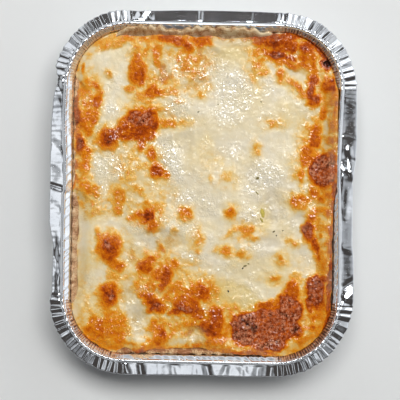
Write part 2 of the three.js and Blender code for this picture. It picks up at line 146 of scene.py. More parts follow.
def move_vertices(bm, places):
    for vertex, place in zip(bm.verts, places * MM):
        vertex.co = place


def ring_body(name, places, **fields):
    """A closed body from places[station, row], which run round the outline and across the section.

    Each field is one number per place, and the material can read it under its name."""
    stations, rows = places.shape[0], places.shape[1]
    bm = bmesh.new()
    bmesh.ops.create_grid(bm, x_segments=stations, y_segments=rows - 1, size=1)
    flat = np.array([vertex.co for vertex in bm.verts])
    station = np.rint((flat[:, 0] + 1) / 2 * stations).astype(int) % stations
    row = np.rint((flat[:, 1] + 1) / 2 * (rows - 1)).astype(int)
    move_vertices(bm, places[station, row])
    for field, values in fields.items():
        layer = bm.verts.layers.float.new(field)
        for vertex, value in zip(bm.verts, values[station, row]):
            vertex[layer] = value
    bmesh.ops.remove_doubles(bm, verts=bm.verts, dist=1e-7)
    bmesh.ops.recalc_face_normals(bm, faces=bm.faces)
    return new_piece(name, bm)


def vertex_places(piece):
    """The piece's vertices in millimetres, as an array."""
    places = np.empty(len(piece.data.vertices) * 3)
    piece.data.vertices.foreach_get("co", places)
    return places.reshape(-1, 3) / MM


def paint(piece, name, values):
    """Stores one number per vertex under a name that the material can read."""
    layer = piece.data.attributes.new(name, "FLOAT", "POINT")
    layer.data.foreach_set("value", np.asarray(values, np.float32))


def roughness_at(x, y, scale, octaves=3, layer=0.0):
    """Fractal noise at each place, about -1 to 1, with lumps about `scale` mm apart."""
    points = zip(np.ravel(x) / scale, np.ravel(y) / scale)
    made = [noise.fractal(Vector((a, b, layer)), 1.0, 2.1, octaves) for a, b in points]
    return np.array(made).reshape(np.shape(x))


def cells_at(x, y, scale, layer=0.0):
    """Distance to the nearest of many scattered points, 0 on a point and about 1 between them."""
    points = zip(np.ravel(x) / scale, np.ravel(y) / scale)
    made = [noise.voronoi(Vector((a, b, layer)))[0][0] for a, b in points]
    return np.array(made).reshape(np.shape(x))


def triangles_of(piece):
    return sum(len(polygon.vertices) - 2 for polygon in piece.data.polygons)


# %% [markdown]
# ## The foil tray
#
# A press folds the flat foil into the corners, where it has to gather in sharp pleats, and rolls the rim
# into a bead and a flat lip with a hem. The section is a list of lines from the middle of the floor, up
# the wall, over the bead and along the lip, and back underneath. A cloth simulation would crumple it at
# random, but these pleats are pressed and regular, so they are given as heights between creases instead.

# %% The tray's section
# Each line of the section: how far outside the bead it lies, and how high. The foil is 0.45 thick.
WALL_ROWS = 9
INNER_FLOOR = [(-75, 0.7), (-40, 0.7), (-18.4, 0.7)]
INNER_BEAD = [
    (-5.2, 51.6), (-5.05, 52.9), (-4.7, 53.6), (-4.1, 54.15), (-3.4, 54.75), (-2.7, 55.35), (-2.0, 55.95),
    (-1.5, 56.45), (-1.1, 56.95), (-0.75, 57.45), (-0.4, 57.8), (0.0, 58.0),
    (0.6, 57.8), (1.05, 57.35), (1.45, 56.75), (1.9, 56.3), (2.4, 56.1),
]
LIP = [
    (3.1, 56.0), (3.9, 55.8), (4.9, 55.55), (5.9, 55.3), (6.9, 55.05), (7.9, 54.8), (8.9, 54.55), (9.9, 54.3),
    (10.9, 54.05), (11.7, 53.85),
]
HEM = [(12.2, 53.67), (12.45, 53.37), (12.4, 53.02), (12.0, 52.82), (11.4, 52.87)]
UNDER_LIP = [
    (10.6, 53.45), (8.2, 54.02), (5.4, 54.72), (3.0, 55.35), (1.5, 55.85), (0.6, 56.9), (0.0, 57.4),
    (-0.5, 56.9),
]
LEDGE_UNDERSIDE = [(-1.1, 56.2), (-1.8, 55.4), (-2.7, 54.65), (-3.6, 53.9), (-4.2, 53.2), (-4.5, 52.2)]
OUTER_WALL_TOP = (-4.7, 49.2)
OUTER_WALL_FOOT = (-14.7, 3.3)
OUTER_FLOOR = [(-18.1, 0.0), (-75, 0.0)]
INNER_WALL_FOOT = (-15.2, 3.6)
WALL_TOP = (-5.3, 49.4)
BEAD_TOP = (0.0, 58.0)


def straight_rows(first, last, count):
    """Lines at even steps from the first to the last."""
    return [tuple(mix(a, b, i / count) for a, b in zip(first, last)) for i in range(count + 1)]


inner_wall = straight_rows(INNER_WALL_FOOT, WALL_TOP, WALL_ROWS)
outer_wall = LEDGE_UNDERSIDE + straight_rows(OUTER_WALL_TOP, OUTER_WALL_FOOT, WALL_ROWS)
section = INNER_FLOOR + inner_wall + INNER_BEAD + LIP + HEM + UNDER_LIP + outer_wall + OUTER_FLOOR
section_out = np.array([line[0] for line in section])
section_up = np.array([line[1] for line in section])
print("the tray's section has", len(section), "lines")

# %% [markdown]
# The corners hold about twenty pleats each, with creases two to three millimetres apart, and no two are
# alike. So the creases are drawn at uneven steps from a seeded generator, their heights go up and down in
# turn, and each slants a little. Between creases the foil stays flat, which gives the hard black and
# white stripes.

# %% Stations round the tray and its pleats
CORNER_STEP = 0.46
STRAIGHT_STEP = 1.0
CREASE_STEP = 2.5
FINE_STEP = 1.25
PLEAT_RISE = 0.62
PLEAT_REACH = 0.7
FINE_REACH = 0.45
WALL_CREASE_STEP = 3.4
WALL_CREASE_REACH = 0.42


def outline_stations(corner_step, straight_step):
    """Side and place along it for every station, closer together in the corners."""
    sides, places = [], []
    for side in range(4):
        corner = round(HALF_CORNER_ARC / corner_step)
        straight = round(2 * float(half_straight(side)) / straight_step)
        lengths = [HALF_CORNER_ARC / corner] * corner + [2 * float(half_straight(side)) / straight] * straight
        travelled = np.concatenate([[0], np.cumsum(lengths + [HALF_CORNER_ARC / corner] * (corner - 1))])
        sides.append(np.full(len(travelled), side))
        places.append(travelled / float(side_length(side)))
    return np.concatenate(sides), np.concatenate(places)


PERIMETER = 2 * float(side_length(0) + side_length(1))
SIDE_STARTS = np.cumsum([0] + [float(side_length(side)) for side in range(3)])
tray_side, tray_along = outline_stations(CORNER_STEP, STRAIGHT_STEP)
tray_travelled = SIDE_STARTS[tray_side] + tray_along * side_length(tray_side)
from_corner = np.minimum(tray_along, 1 - tray_along) * side_length(tray_side)
in_corner = 1 - smooth(HALF_CORNER_ARC - 3, HALF_CORNER_ARC + 5, from_corner)
print(len(tray_side), "stations round the tray,", round(PERIMETER), "mm along the bead")


def creased(step, seed, slant, lean=0.0, steep=1.0):
    """Heights, -1 to 1, for [station, row] of foil gathered in sharp folds about `step` apart.

    The creases slant at random by up to `slant`, and all `lean` the same way. `steep` makes every other
    face shorter."""
    random = np.random.default_rng(seed)
    count = 2 * round(PERIMETER / step / 2)
    creases = np.cumsum(random.uniform(0.5, 1.6, count) * np.where(np.arange(count) % 2, steep, 2 - steep))
    creases = creases / creases[-1] * PERIMETER
    heights = random.uniform(0.35, 1, count) * np.where(np.arange(count) % 2, 1, -1)
    slants = lean + random.uniform(-slant, slant, count)
    columns = [
        np.interp(tray_travelled, np.sort(creases + slants * (out - 2) / 10), heights, period=PERIMETER)
        for out in section_out
    ]
    return np.stack(columns, axis=1)


# %% [markdown]
# The straight lips are flat but handled: there are dents, creases and a pinched corner. The measured
# reach of each lip is a short table of places along it. A crease is a line with a ridge along it, like a
# tent, because two flat faces that meet at a line are what makes one side bright and the other dark.

# %% Dents and creases of the lip
# Reach of the lip's edge past its plan, and shift of the bead, at places along a side
LEFT_REACH = {
    -120: 0.3, -99: 0.2, -89: -1.6, -49: -1.8, -39: 0, -29: 1.8, 41: 2.0, 61: 1.6, 84: 0, 96: -3.2, 101: -3.2,
    110: 0.3,
}
RIGHT_REACH = {
    -110: 0.6, -94: 1.6, -79: 1.6, -59: 1.1, -39: -0.4, 1: -0.6, 11: -1.2, 29: 1.4, 51: 2.2, 61: 2.0, 81: 1.5,
    98: 1.2, 112: 0.3,
}
FAR_REACH = {-80: 0, -60: -1.2, -20: 0.2, 10: 0.4, 45: 0.2, 70: -0.6}
LEFT_BEAD = {-100: 0.8, -30: 1.4, -3: 1.3, 1: 0, 30: 0.4, 60: 1.8, 95: 1.2}
RIGHT_BEAD = {-90: 0, -60: 0, -20: -0.8, 10: -1.8, 28: -2.2, 60: -1.4, 95: 0}
NEAR_REACH = {-80: 0.2, -50: 0.9, 0: 0.2, 40: 0.8, 62: 0.2, 80: 0}

# Creases on the lip: both ends, how high the ridge stands and how wide it is
CREASES = [
    ((-62, 149), (-54, 162), 0.9, 5.0), ((-50, 152), (-57, 160), -0.6, 4.0),
    ((-6, 150), (-5, 162), 0.35, 3.0), ((38, 150), (40, 162), 0.2, 4.0), ((64, 149), (70, 162), 0.7, 4.0),
    ((-134, 104), (-122, 92), 0.9, 5.0), ((-131, 94), (-121, 70), -0.9, 5.0),
    ((-135, 88), (-124, 86), 0.7, 4.0), ((-136, 42), (-124, 30), 0.45, 6.0),
    ((-136, 24), (-125, 18), -0.3, 6.0), ((-136, 4), (-123, 0), -0.8, 3.0),
    ((-136, -12), (-124, -20), 0.4, 5.0), ((-134, -56), (-123, -72), -0.9, 6.0),
    ((-133, -84), (-123, -78), 0.4, 5.0), ((-134, -98), (-122, -92), 0.8, 5.0),
    ((-68, -151), (-64, -162), 0.9, 4.0), ((-54, -150), (-52, -163), -0.8, 4.0),
    ((-24, -151), (-20, -163), 0.3, 7.0), ((4, -150), (8, -163), -0.7, 5.0),
    ((24, -152), (20, -162), 0.4, 4.0), ((34, -151), (42, -161), -0.4, 5.0),
    ((52, -152), (50, -163), 0.4, 5.0), ((63, -150), (62, -163), -0.9, 4.0),
    ((122, 51), (136, 50), 0.4, 2.5), ((128, 42), (131, 16), 0.5, 3.5), ((124, 34), (134, 28), -0.5, 4.0),
    ((123, 16), (136, 14), 1.0, 14.0), ((121.5, -25), (121.5, -75), -0.35, 10.0),
    ((124, 22), (134, 18), 0.5, 3.0), ((128, 4), (126, -22), 0.3, 4.0),
    ((123, -8), (133, -12), -0.25, 4.0), ((122, -46), (134, -50), 0.4, 5.0),
    ((123, -84), (135, -76), -0.9, 5.0), ((120, -102), (135, -86), 1.1, 4.0),
    ((121, -92), (134, -100), -0.8, 4.0), ((122, 84), (136, 78), 0.25, 4.0),
    ((122, 98), (136, 104), -0.35, 5.0),
]


def reach_along(places, table):
    """Reads a table at each place, in straight lines between its entries."""
    return np.interp(places, sorted(table), [table[key] for key in sorted(table)])


def lip_reach(x, y):
    """How much further out than planned the lip's edge lies here. It fades out in the corners."""
    on_long_side, on_short_side = smooth(128, 112, np.abs(y)), smooth(95, 78, np.abs(x))
    left = reach_along(y, LEFT_REACH) * (x < -CORNER_CENTRE_X) * on_long_side
    right = reach_along(y, RIGHT_REACH) * (x > CORNER_CENTRE_X) * on_long_side
    far = reach_along(x, FAR_REACH) * (y > CORNER_CENTRE_Y) * on_short_side
    near = reach_along(x, NEAR_REACH) * (y < -CORNER_CENTRE_Y) * on_short_side
    return left + right + far + near


def bead_shift(x, y):
    """How far the bead stands out from its plan along the two long sides."""
    left = reach_along(y, LEFT_BEAD) * (x < -CORNER_CENTRE_X)
    right = reach_along(y, RIGHT_BEAD) * (x > CORNER_CENTRE_X)
    return (left + right) * smooth(112, 96, np.abs(y))


def crease_height(x, y):
    """Height of the creases: each is a tent over its line, fading out past the line's ends."""
    x, y = x - TABLE_SHIFT[0], y - TABLE_SHIFT[1]
    total = np.zeros_like(x)
    for start, end, height, width in CREASES:
        along = np.subtract(end, start)
        length = np.hypot(*along)
        travelled = ((x - start[0]) * along[0] + (y - start[1]) * along[1]) / length
        aside = np.abs((x - start[0]) * along[1] - (y - start[1]) * along[0]) / length
        fade = smooth(-width, 1, travelled) * smooth(length + width, length - 1, travelled)
        total += height * fade * np.clip(1 - aside / width, 0, 1)
    return total


# %% Shape the tray
RIM_FROM = 50
LONG_WAVE = 0.38
SHORT_WAVE = 0.13
STRAIGHT_PLEAT = 0.07
# The far lip was handled least, then the right one
FAR_CALM = 0.3
RIGHT_CALM = 0.55

is_rim = section_up > RIM_FROM
lip_share = smooth(1.6, 12, section_out) * is_rim
bead_share = smooth(-4, -1, section_out) * is_rim * (1 - lip_share)
wall_share = smooth(4, 20, section_up) * smooth(57, 50, section_up) * (section_out < 1)
corner = in_corner[:, None]
coarse = creased(CREASE_STEP, seed=11, slant=1.6)
fine = creased(FINE_STEP, seed=23, slant=0.3)
across_wall = creased(WALL_CREASE_STEP, seed=37, slant=3.0, lean=12.0, steep=0.4)
section_reach = PLEAT_REACH * (0.55 * wall_share + 0.25 * bead_share + 0.8 * lip_share)
out = section_out + corner * (coarse * section_reach + fine * FINE_REACH * (wall_share + 0.7 * bead_share))
plan_out = np.broadcast_to(section_out, out.shape)
plain_x, plain_y = on_outline(tray_side[:, None], tray_along[:, None], plan_out)
out = out + lip_reach(plain_x, plain_y) * smooth(2, 12, section_out) * is_rim
out = out + bead_shift(plain_x, plain_y) * smooth(48, 57, section_up) * smooth(11, 4, section_out)
upper_wall = smooth(52, 53.5, section_up) * smooth(57.4, 56.4, section_up) * (section_out < 0)
out = out + WALL_CREASE_REACH * across_wall * upper_wall * (1 - corner)
tray_x, tray_y = on_outline(tray_side[:, None], tray_along[:, None], out)
on_lip = (smooth(1.5, 4, section_out) * is_rim)[None, :]
long_waves = roughness_at(tray_x, tray_y, 26, 2, 4.2)
short_waves = 1 - np.abs(roughness_at(tray_x, tray_y, 7, 3, 8.8))
ripple = LONG_WAVE * long_waves + SHORT_WAVE * (short_waves - 0.75)
rise = corner * coarse * PLEAT_RISE * (0.45 * bead_share + on_lip * (0.45 + 0.55 * lip_share))
on_right = np.where(plain_x > BEAD_HALF_WIDTH, RIGHT_CALM, 1.0)
calmer = np.where(plain_y > CORNER_CENTRE_Y + MIDDLE_Y, FAR_CALM, on_right)
rise = rise + on_lip * (1 - 0.7 * corner) * ripple * calmer + on_lip * crease_height(tray_x, tray_y)
rise = rise + (1 - corner) * STRAIGHT_PLEAT * coarse * on_lip
tray_places = np.stack([tray_x, tray_y, section_up + rise], axis=2)
floor_middle = np.broadcast_to([MIDDLE_X, MIDDLE_Y, INNER_FLOOR[0][1]], (len(tray_side), 1, 3))
under_middle = np.broadcast_to([MIDDLE_X, MIDDLE_Y, 0.0], (len(tray_side), 1, 3))
tray_places = np.concatenate([floor_middle, tray_places, under_middle], axis=1)
# The floor's two middle points have no fold and no inner face
folds = np.pad(corner * (0.5 - 0.5 * fine), ((0, 0), (1, 1)))
is_inner = np.arange(len(section)) < section.index(BEAD_TOP)
inner_face = np.pad(np.broadcast_to(is_inner * 1.0, out.shape), ((0, 0), (1, 1)))
tray = ring_body("foil_tray_pressed", tray_places, fold=folds, inner=inner_face)
print("foil tray:", triangles_of(tray), "triangles")

# %% [markdown]
# ## The browned patches
#
# Cheese browns first where a bubble stood proud in the oven. Each patch is a blister with a middle, half
# sizes, how dark it got in hundredths, and sometimes a turn: 30 is yellow, 50 orange, 75 brown and 100
# nearly black. A few long strips along the far rim and the right wall are browning and also painted shade
# of the walls. One table serves the colour and the relief, because on the real crust they are the same
# thing. An image could hold this too, but a table of blisters stays editable and keeps its sharpness at
# any size.

# %% Blisters of the crust
class Patch:
    """An oval on the crust: its middle, half sizes, strength in hundredths, and a turn in degrees."""

    def __init__(self, x, y, half_width, half_length, strength, turn=0):
        self.x, self.y = x, y
        self.half_width, self.half_length = half_width, half_length
        self.strength = strength / 100
        self.turn = math.radians(turn)
        self.size = math.sqrt(half_width * half_length)

    def beyond(self, x, y):
        """How far outside the oval's edge each place lies, in mm, below 0 inside it."""
        aside = (x - TABLE_SHIFT[0]) / PATTERN_SCALE - self.x
        ahead = (y - TABLE_SHIFT[1]) / PATTERN_SCALE - self.y
        across = (aside * math.cos(self.turn) + ahead * math.sin(self.turn)) / self.half_width
        along = (ahead * math.cos(self.turn) - aside * math.sin(self.turn)) / self.half_length
        return (np.hypot(across, along) - 1) * self.size

    def faded(self, x, y, full, none):
        """1 where a place lies less than `full` beyond the edge, and 0 from `none` on."""
        return 1 - smooth(full, none, self.beyond(x, y))


def patches(rows):
    return [Patch(*row) for row in rows]


PATTERN_SCALE = 1.006
BLISTERS = patches([
    # Far left corner
    (-60, 107, 7.5, 15, 62, 2), (-58, 101, 4.5, 9, 74), (-61, 122, 4, 8, 42), (-44, 115, 2.8, 12, 52, 24),
    (-46, 88, 7, 6, 68), (-56, 84, 8, 4, 44, 20), (-52, 80, 8, 3, 36), (-67, 89, 5, 4, 50),
    # The strips at y 126 to 134 are the far rim's browning and also painted shade of the far wall
    (-33, 134, 13, 4.5, 68, -5), (-22, 131, 8, 5, 68, -25), (-16, 126, 5, 3.5, 64, -30),
    (-5, 132, 11, 5, 64), (-8, 118, 7, 4, 42), (-18, 113, 4, 6, 36, -30), (-3, 101, 5, 4, 38),
    (-10, 100, 3, 4, 36), (-27, 88, 6, 4, 36), (-5, 85, 4, 4, 40), (-23, 79, 5, 3, 36),
    (-86, 103, 4, 3.5, 38), (-103, 93, 6, 5, 46), (-98, 92, 3, 4, 60), (-60, 58, 20, 13, 60, 15),
    (-75, 51, 8, 6, 64, 20), (-38, 107, 4, 9, 40), (-107, 88, 5, 6, 46), (-95, 78, 4, 9, 64, -5),
    (-105, 76, 5, 4, 58, -30), (-108, 82, 4, 5, 46), (-100, 64, 6, 10, 60), (-117, 84, 4, 5, 80, -30),
    (-115, 76, 4, 7, 74, -20), (-115, 65, 6, 7, 86), (-108, 58, 6, 6, 60), (-108.5, 108, 2, 6, 60),
    (-83, 128, 12, 3.5, 40, 22), (-70, 135, 10, 4, 42, 10), (-90, 131, 14, 3, 36, 25),
    (-70, 141, 10, 2.5, 74),
    # Far right corner
    (45, 133, 6, 6, 66), (55, 133, 8, 6, 70, -10), (52, 125, 8, 3, 60, -25), (64, 122, 9, 5, 86, -15),
    (75, 119, 6, 4, 76, -15), (72, 114, 12, 3, 60, -20), (68, 131, 14, 7, 73, -5), (75, 128, 6, 4, 46),
    (88, 128, 8, 7, 72, -20), (96, 133, 8, 4, 82, -40), (87, 139, 10, 2.5, 86, -15), (60, 139, 24, 5, 78),
    (102, 127, 4, 8, 80, 45), (108, 121, 3, 6, 88, 40), (85, 113, 8, 3, 58), (95, 115, 3, 12, 60, 5),
    (90, 120, 8, 5, 55), (108, 115, 6, 5, 125, -35), (94, 100, 4, 8, 80), (93, 90, 3.5, 8, 85),
    (96, 82, 5, 6, 84, -20), (108, 95, 7, 7, 72), (113, 96, 3, 8, 78), (103, 92, 4, 3, 60, -30),
    (104, 70, 4, 7, 62), (107, 102, 5, 3, 52), (100, 85, 3, 5, 52), (107, 83, 6, 8, 38),
    (18, 141, 22, 2, 40), (66, 105, 5, 6, 57), (82, 94, 8, 3.5, 56, -35), (75, 98, 6, 3, 46, -40),
    (88, 88, 5, 3, 46, -40), (42, 112, 3, 8, 36), (50, 106, 6, 4, 42), (42, 100, 4, 6, 32),
    # The long strip at x 114 is browning along the right wall and also painted shade of the wall
    (45, 122, 4, 3, 42), (114, 75, 2.5, 22, 52), (98, 57, 6, 5, 57), (60, 62, 4, 3, 40),
    # Left
    (-58, 63, 12, 8, 84), (-48, 62, 8, 9, 80), (-65, 56, 9, 7, 70), (-68, 47, 6, 4, 72),
    (-60, 50, 10, 5, 68), (-56, 42, 4, 8, 62), (-33, 60, 8, 4, 48), (-50, 72, 12, 4, 52),
    (-85, 44, 12, 11, 50), (-84, 46, 10, 9, 64), (-84, 45, 6, 6, 74), (-46, 33, 5.5, 7, 62, 5),
    (-42, 17, 5.5, 7, 76, 10), (-36, 15, 5, 5, 56), (-110, 42, 4, 9, 85, 8), (-114, 22, 2.8, 4.5, 78),
    (-116, 6, 3, 4, 76), (-118, 0, 2, 3, 70), (-114, 10, 3, 3, 60), (-104, 30, 5, 9, 54, -5),
    (-105, 20, 6, 8, 46), (-103, 52, 5, 5, 56), (-105, 3, 6, 4, 54), (-97, 0, 5, 5, 52, -20),
    (-94, -4, 3.5, 3.5, 50), (-103, -1, 6, 3, 52), (-75, -6, 6, 8, 46), (-72, -2, 3, 4, 52),
    (-79, -3, 4, 3, 42), (-76, -19, 6, 4, 48), (-72, -14, 3, 5, 44), (-98, -13, 3, 3, 40),
    (-94, -19, 8, 5, 32), (-50, -12, 4, 4, 48), (-49, -23, 6, 7, 82), (-57, -21, 5, 4, 66, 20),
    (-46, -31, 5, 6, 62, 10), (-44, -36, 3, 3, 52), (-63, -24, 5, 3, 46), (-38, -16, 5, 3, 42),
    (-16, -19, 6, 6, 52), (-14, -18, 4, 4, 54), (-19, -25, 3, 3, 44), (-83, -50, 13, 13, 55),
    (-82, -49, 9, 8, 76), (-84, -47, 5, 4, 84), (-76, -65, 7, 5, 57, -30), (-72, -68, 3, 4, 60),
    (-92, -40, 3, 6, 46), (-37, -50, 4, 4, 52), (-3, -42, 3, 7, 40), (-4, -52, 3, 3, 36),
    (-56, 0, 4, 3, 36), (-66, 30, 5, 3, 32), (-65, 15, 5, 8, 28), (-52, 50, 8, 8, 68), (-60, 3, 4, 4, 30),
    (-27, -35, 4, 4, 30),
    # Right
    (98, 48, 5, 7, 66), (97, 43, 4, 4, 78), (92, 37, 6, 8, 66, -20), (88, 30, 5, 8, 60),
    (86, 16, 3.5, 8, 55), (94, 28, 6, 6, 55), (105, 20, 12, 15, 88), (112, 30, 5, 10, 84),
    # The patch at (114, 5) is browning at the right wall and also painted shade of the wall
    (97, 20, 5, 10, 86), (114, 5, 3, 8, 80), (97, 1, 4, 5, 64), (104, -4, 5, 5, 62, -30),
    (110, 0, 6, 4, 57), (81, -8, 5, 5, 57), (88, -4, 6, 3, 56), (85, -8, 9, 7, 42),
    (93, -33, 5, 10, 86, 5), (96, -22, 4, 5, 74), (98, -45, 4, 9, 78, 15), (102, -55, 3, 4, 62, 15),
    # The long strip at (114, -20) is browning along the right wall and also painted shade of the wall
    (104, -35, 3, 3, 62), (100, -15, 8, 5, 46), (108, -15, 4, 5, 52), (114, -20, 2.5, 34, 64),
    (25, -18, 4.5, 5.5, 64, -15), (36, -33, 5, 6, 46), (42, -32, 4, 3, 50), (44, -40, 4, 3, 42),
    (26, -36, 8, 3, 34, 30), (46, 41, 3.5, 4, 40), (47, 36, 3, 3, 34), (19, 13, 4, 5, 30),
    (6, 12, 3, 4, 26), (81, -43, 5, 3, 38, -30), (21, -52, 5, 4, 50), (35, -54, 5, 4, 44),
    (69, -56, 3, 4, 44),
    # Near left corner
    (-82, -93, 10, 12, 57), (-81, -92, 6, 9, 74), (-80, -92, 3, 7, 84), (-50, -67, 7.5, 7, 72),
    (-44, -60, 4, 4, 66), (-55, -66, 5, 4, 57), (-25, -64, 4.5, 4.5, 63), (-32, -77, 4.5, 8, 78),
    (-35, -85, 5, 4, 66), (-40, -74, 6, 5, 52), (-22, -85, 8, 3, 52, -15), (-57, -82, 4, 3, 46),
    (-53, -93, 4, 4, 52), (-45, -96, 8, 4, 72, -35), (-39, -102, 7, 5, 84), (-45, -106, 4, 3, 62),
    (-52, -92, 5, 2.5, 60, -30), (-15, -103, 9, 5, 84, -15), (-22, -106, 7, 4, 76), (-8, -97, 5, 5, 74),
    (-3, -108, 7, 5, 74, -20), (-28, -108, 4, 3, 62), (-2, -88, 8, 9, 62), (2, -90, 5, 8, 66),
    (-14, -88, 8, 4, 46), (-85, -122, 20, 10, 52), (-72, -114, 9, 5, 48), (-95, -125, 10, 6, 52),
    (-75, -128, 12, 4, 52), (-72, -133, 6, 3, 65), (-80, -136, 14, 5, 44), (-52, -143, 9, 3.5, 84),
    (-37, -125, 6, 9, 58, -15), (-33, -127, 4, 5, 70), (-38, -133, 5, 3, 55), (-43, -117, 4, 5, 52),
    (-10, -117, 8, 4, 44), (-45, -138, 10, 3, 50), (-33, -73, 9, 9, 60), (-44, -98, 12, 7, 60, -35),
    (-14, -99, 13, 9, 64, -15), (-83, -54, 9, 11, 68), (-81, -92, 8, 12, 64),
    # Near right corner
    (12, -115, 8, 14, 66), (8, -122, 6, 8, 71), (14, -107, 6, 7, 69), (10, -132, 8, 4, 54),
    (20, -128, 5, 5, 52), (2, -117, 5, 6, 73), (11, -87, 2.5, 2.5, 46), (57, -119, 31, 18, 87, 8),
    (38, -119, 13, 14, 93), (60, -134, 17, 6, 86), (78, -104, 12, 14, 86, 20), (80, -86, 7, 11, 68),
    (75, -95, 7, 8, 80), (60, -98, 14, 4, 66, 8), (84, -120, 6, 6, 92), (101, -86, 9, 15, 87, 5),
    (95, -97, 4, 9, 86), (105, -100, 8, 5, 63), (107, -74, 5, 4, 76), (99, -116, 4, 4, 63),
    # The long strip at (113, -80) is browning along the right wall and also painted shade of the wall
    (90, -128, 8, 3, 52, 20), (113, -80, 2.5, 36, 80), (111, -112, 3, 14, 76, -8), (45, -142, 25, 3, 68),
    (25, -140, 10, 3, 52), (65, -76, 4, 3, 46), (69, -58, 3, 3, 44), (83, -70, 4, 3, 42),
    (104, -60, 5, 8, 44), (108, -62, 3, 8, 52),
])
print(len(BLISTERS), "blisters")

# %% [markdown]
# Between the blisters the cheese isn't one cream either. Fat that ran out of the crust leaves broad
# golden areas, oil stands in yellow pools, thin places let the grey-brown layers show through, and loose
# shreds make rough white areas that glint. Each kind is a table in the same form as the blisters.

# %% Broad areas of the crust
# Golden areas, with their tone
GOLDEN = patches([
    (-60, 112, 13, 24, 30), (-62, 136, 18, 8, 46), (-85, 130, 22, 6, 34, 20), (-45, 126, 16, 12, 44),
    (-42, 94, 24, 14, 42), (-13, 114, 22, 18, 44), (-8, 92, 16, 14, 29), (-102, 80, 13, 30, 44),
    (-52, 66, 26, 18, 38), (-25, 62, 18, 8, 27), (68, 125, 38, 15, 46, -12), (92, 118, 18, 15, 46),
    (104, 100, 13, 32, 30), (108, 72, 10, 28, 26), (45, 108, 14, 16, 24), (46, 119, 10, 12, 46),
    (82, 92, 15, 8, 30, -40), (62, 62, 14, 8, 22), (97, 58, 10, 12, 38), (-106, 38, 11, 60, 42),
    (-107, 8, 9, 22, 34), (-85, 44, 17, 15, 40), (-58, 45, 15, 14, 36), (-44, 25, 13, 20, 34),
    (-96, -10, 20, 20, 27), (-75, -9, 17, 19, 30), (-48, -22, 20, 16, 38), (-82, -50, 20, 22, 34),
    (-55, 0, 14, 10, 27), (-34, 0, 15, 16, 22), (-66, 20, 18, 22, 30), (-18, -18, 14, 12, 22),
    (-38, -15, 10, 7, 28), (-5, -42, 9, 18, 28), (95, 42, 15, 30, 38), (110, 30, 8, 40, 34),
    (85, -6, 16, 12, 30), (82, 20, 9, 14, 26), (-28, -45, 12, 10, 24), (106, -28, 14, 45, 40),
    (38, -35, 17, 14, 27), (25, -18, 9, 10, 26), (5, 24, 14, 20, 13), (20, 12, 16, 12, 15),
    (80, -43, 12, 6, 26, -20), (20, -53, 15, 7, 32), (37, -54, 9, 7, 30), (70, -58, 10, 9, 27),
    (-85, -120, 28, 20, 50), (-95, -130, 17, 13, 42), (-40, -75, 30, 26, 41), (-45, -80, 13, 12, 42),
    (-18, -90, 36, 17, 45), (-75, -72, 13, 20, 33), (-82, -95, 16, 20, 42), (-36, -125, 17, 17, 50),
    (-12, -118, 20, 11, 45), (-5, -134, 26, 7, 22), (-104, -100, 10, 40, 20), (-70, -138, 26, 7, 42),
    (-50, -84, 16, 9, 28), (12, -118, 19, 25, 44), (28, -114, 11, 22, 42), (99, -114, 15, 22, 50),
    (88, -134, 14, 9, 47), (84, -86, 15, 20, 36), (108, -62, 9, 32, 32), (5, -86, 15, 15, 36),
    (64, -76, 12, 7, 24), (85, -62, 14, 10, 14), (-20, -62, 30, 12, 18), (-30, 137, 46, 7, 54),
    (-40, 122, 22, 12, 30), (0, -138, 60, 6, 54), (-115, -60, 4, 60, 34), (-50, -60, 24, 14, 30),
    (-15, -76, 24, 14, 30),
])

# Pools of yellow oil
OIL = patches([
    (24, 122, 14, 12, 80), (28, -92, 26, 15, 100, -20), (-105, -14, 9, 12, 50), (-104, -80, 10, 30, 50),
    (40, 82, 20, 14, 35), (50, -66, 26, 10, 50), (-30, 66, 24, 10, 40), (-5, 45, 12, 24, 35),
    (52, -22, 8, 10, 90, 10), (75, 70, 20, 12, 35), (-70, 10, 20, 16, 35), (66, -76, 10, 6, 90),
])

# Thin places that look grey, with their depth in hundredths of a millimetre
HOLLOWS = patches([
    (-35, 42, 6, 5, 110), (-38, 105, 5, 8, 100), (-57, -110, 8, 9, 110), (-4, -126, 8, 6, 160),
    (84, -27, 7, 9, 70), (52, -44, 12, 5, 50), (-12, 94, 12, 4, 60, 20), (2, 120, 12, 8, 70),
    (80, 105, 8, 5, 70), (-38, -44, 20, 9, 90), (62, -14, 11, 15, 60), (-18, 42, 9, 9, 60),
    (42, 12, 10, 12, 35), (26, 136, 19, 6, 150), (-66, -90, 5, 12, 60), (-60, -58, 8, 8, 40),
])

# Rough areas of half melted shreds
SHREDS = patches([
    (-24, 74, 11, 10, 100), (27, 88, 16, 20, 90), (10, 102, 12, 14, 70), (22, 68, 12, 8, 80),
    (-28, 24, 9, 20, 100, 20), (-84, 20, 12, 12, 80), (-16, -4, 10, 7, 80), (56, 16, 15, 12, 90),
    (-57, -32, 9, 5, 100), (42, -20, 9, 6, 90), (-46, -87, 11, 4, 80), (-40, 44, 8, 6, 70),
    (2, -105, 7, 4, 120), (-78, 51, 4, 5, 120), (-36, 108, 7, 9, 60), (-84, 72, 6, 6, 70),
    (-90, 2, 4, 12, 60), (-22, 108, 8, 9, 60), (44, 2, 5, 6, 80), (-4, 104, 5, 10, 100),
    (-12, -32, 8, 10, 50), (-8, -56, 8, 4, 60), (-100, -78, 4, 8, 60), (44, -47, 9, 3, 80, 12),
    (-34, -28, 5, 8, 60), (88, -120, 3, 8, 40), (78, 124, 3, 4, 110), (6, -10, 8, 6, 40),
])
for name, table in [("golden areas", GOLDEN), ("pools", OIL), ("hollows", HOLLOWS), ("rough areas", SHREDS)]:
    print(len(table), name)


# %% Fields that the patches make
# Neighbouring patches run into each other the more sharply, the higher the power that joins them.
BLISTER_POWER = 6
HALO_POWER = 4
HALO_SHARE = 0.6
MOST_SOFTNESS = 3.2


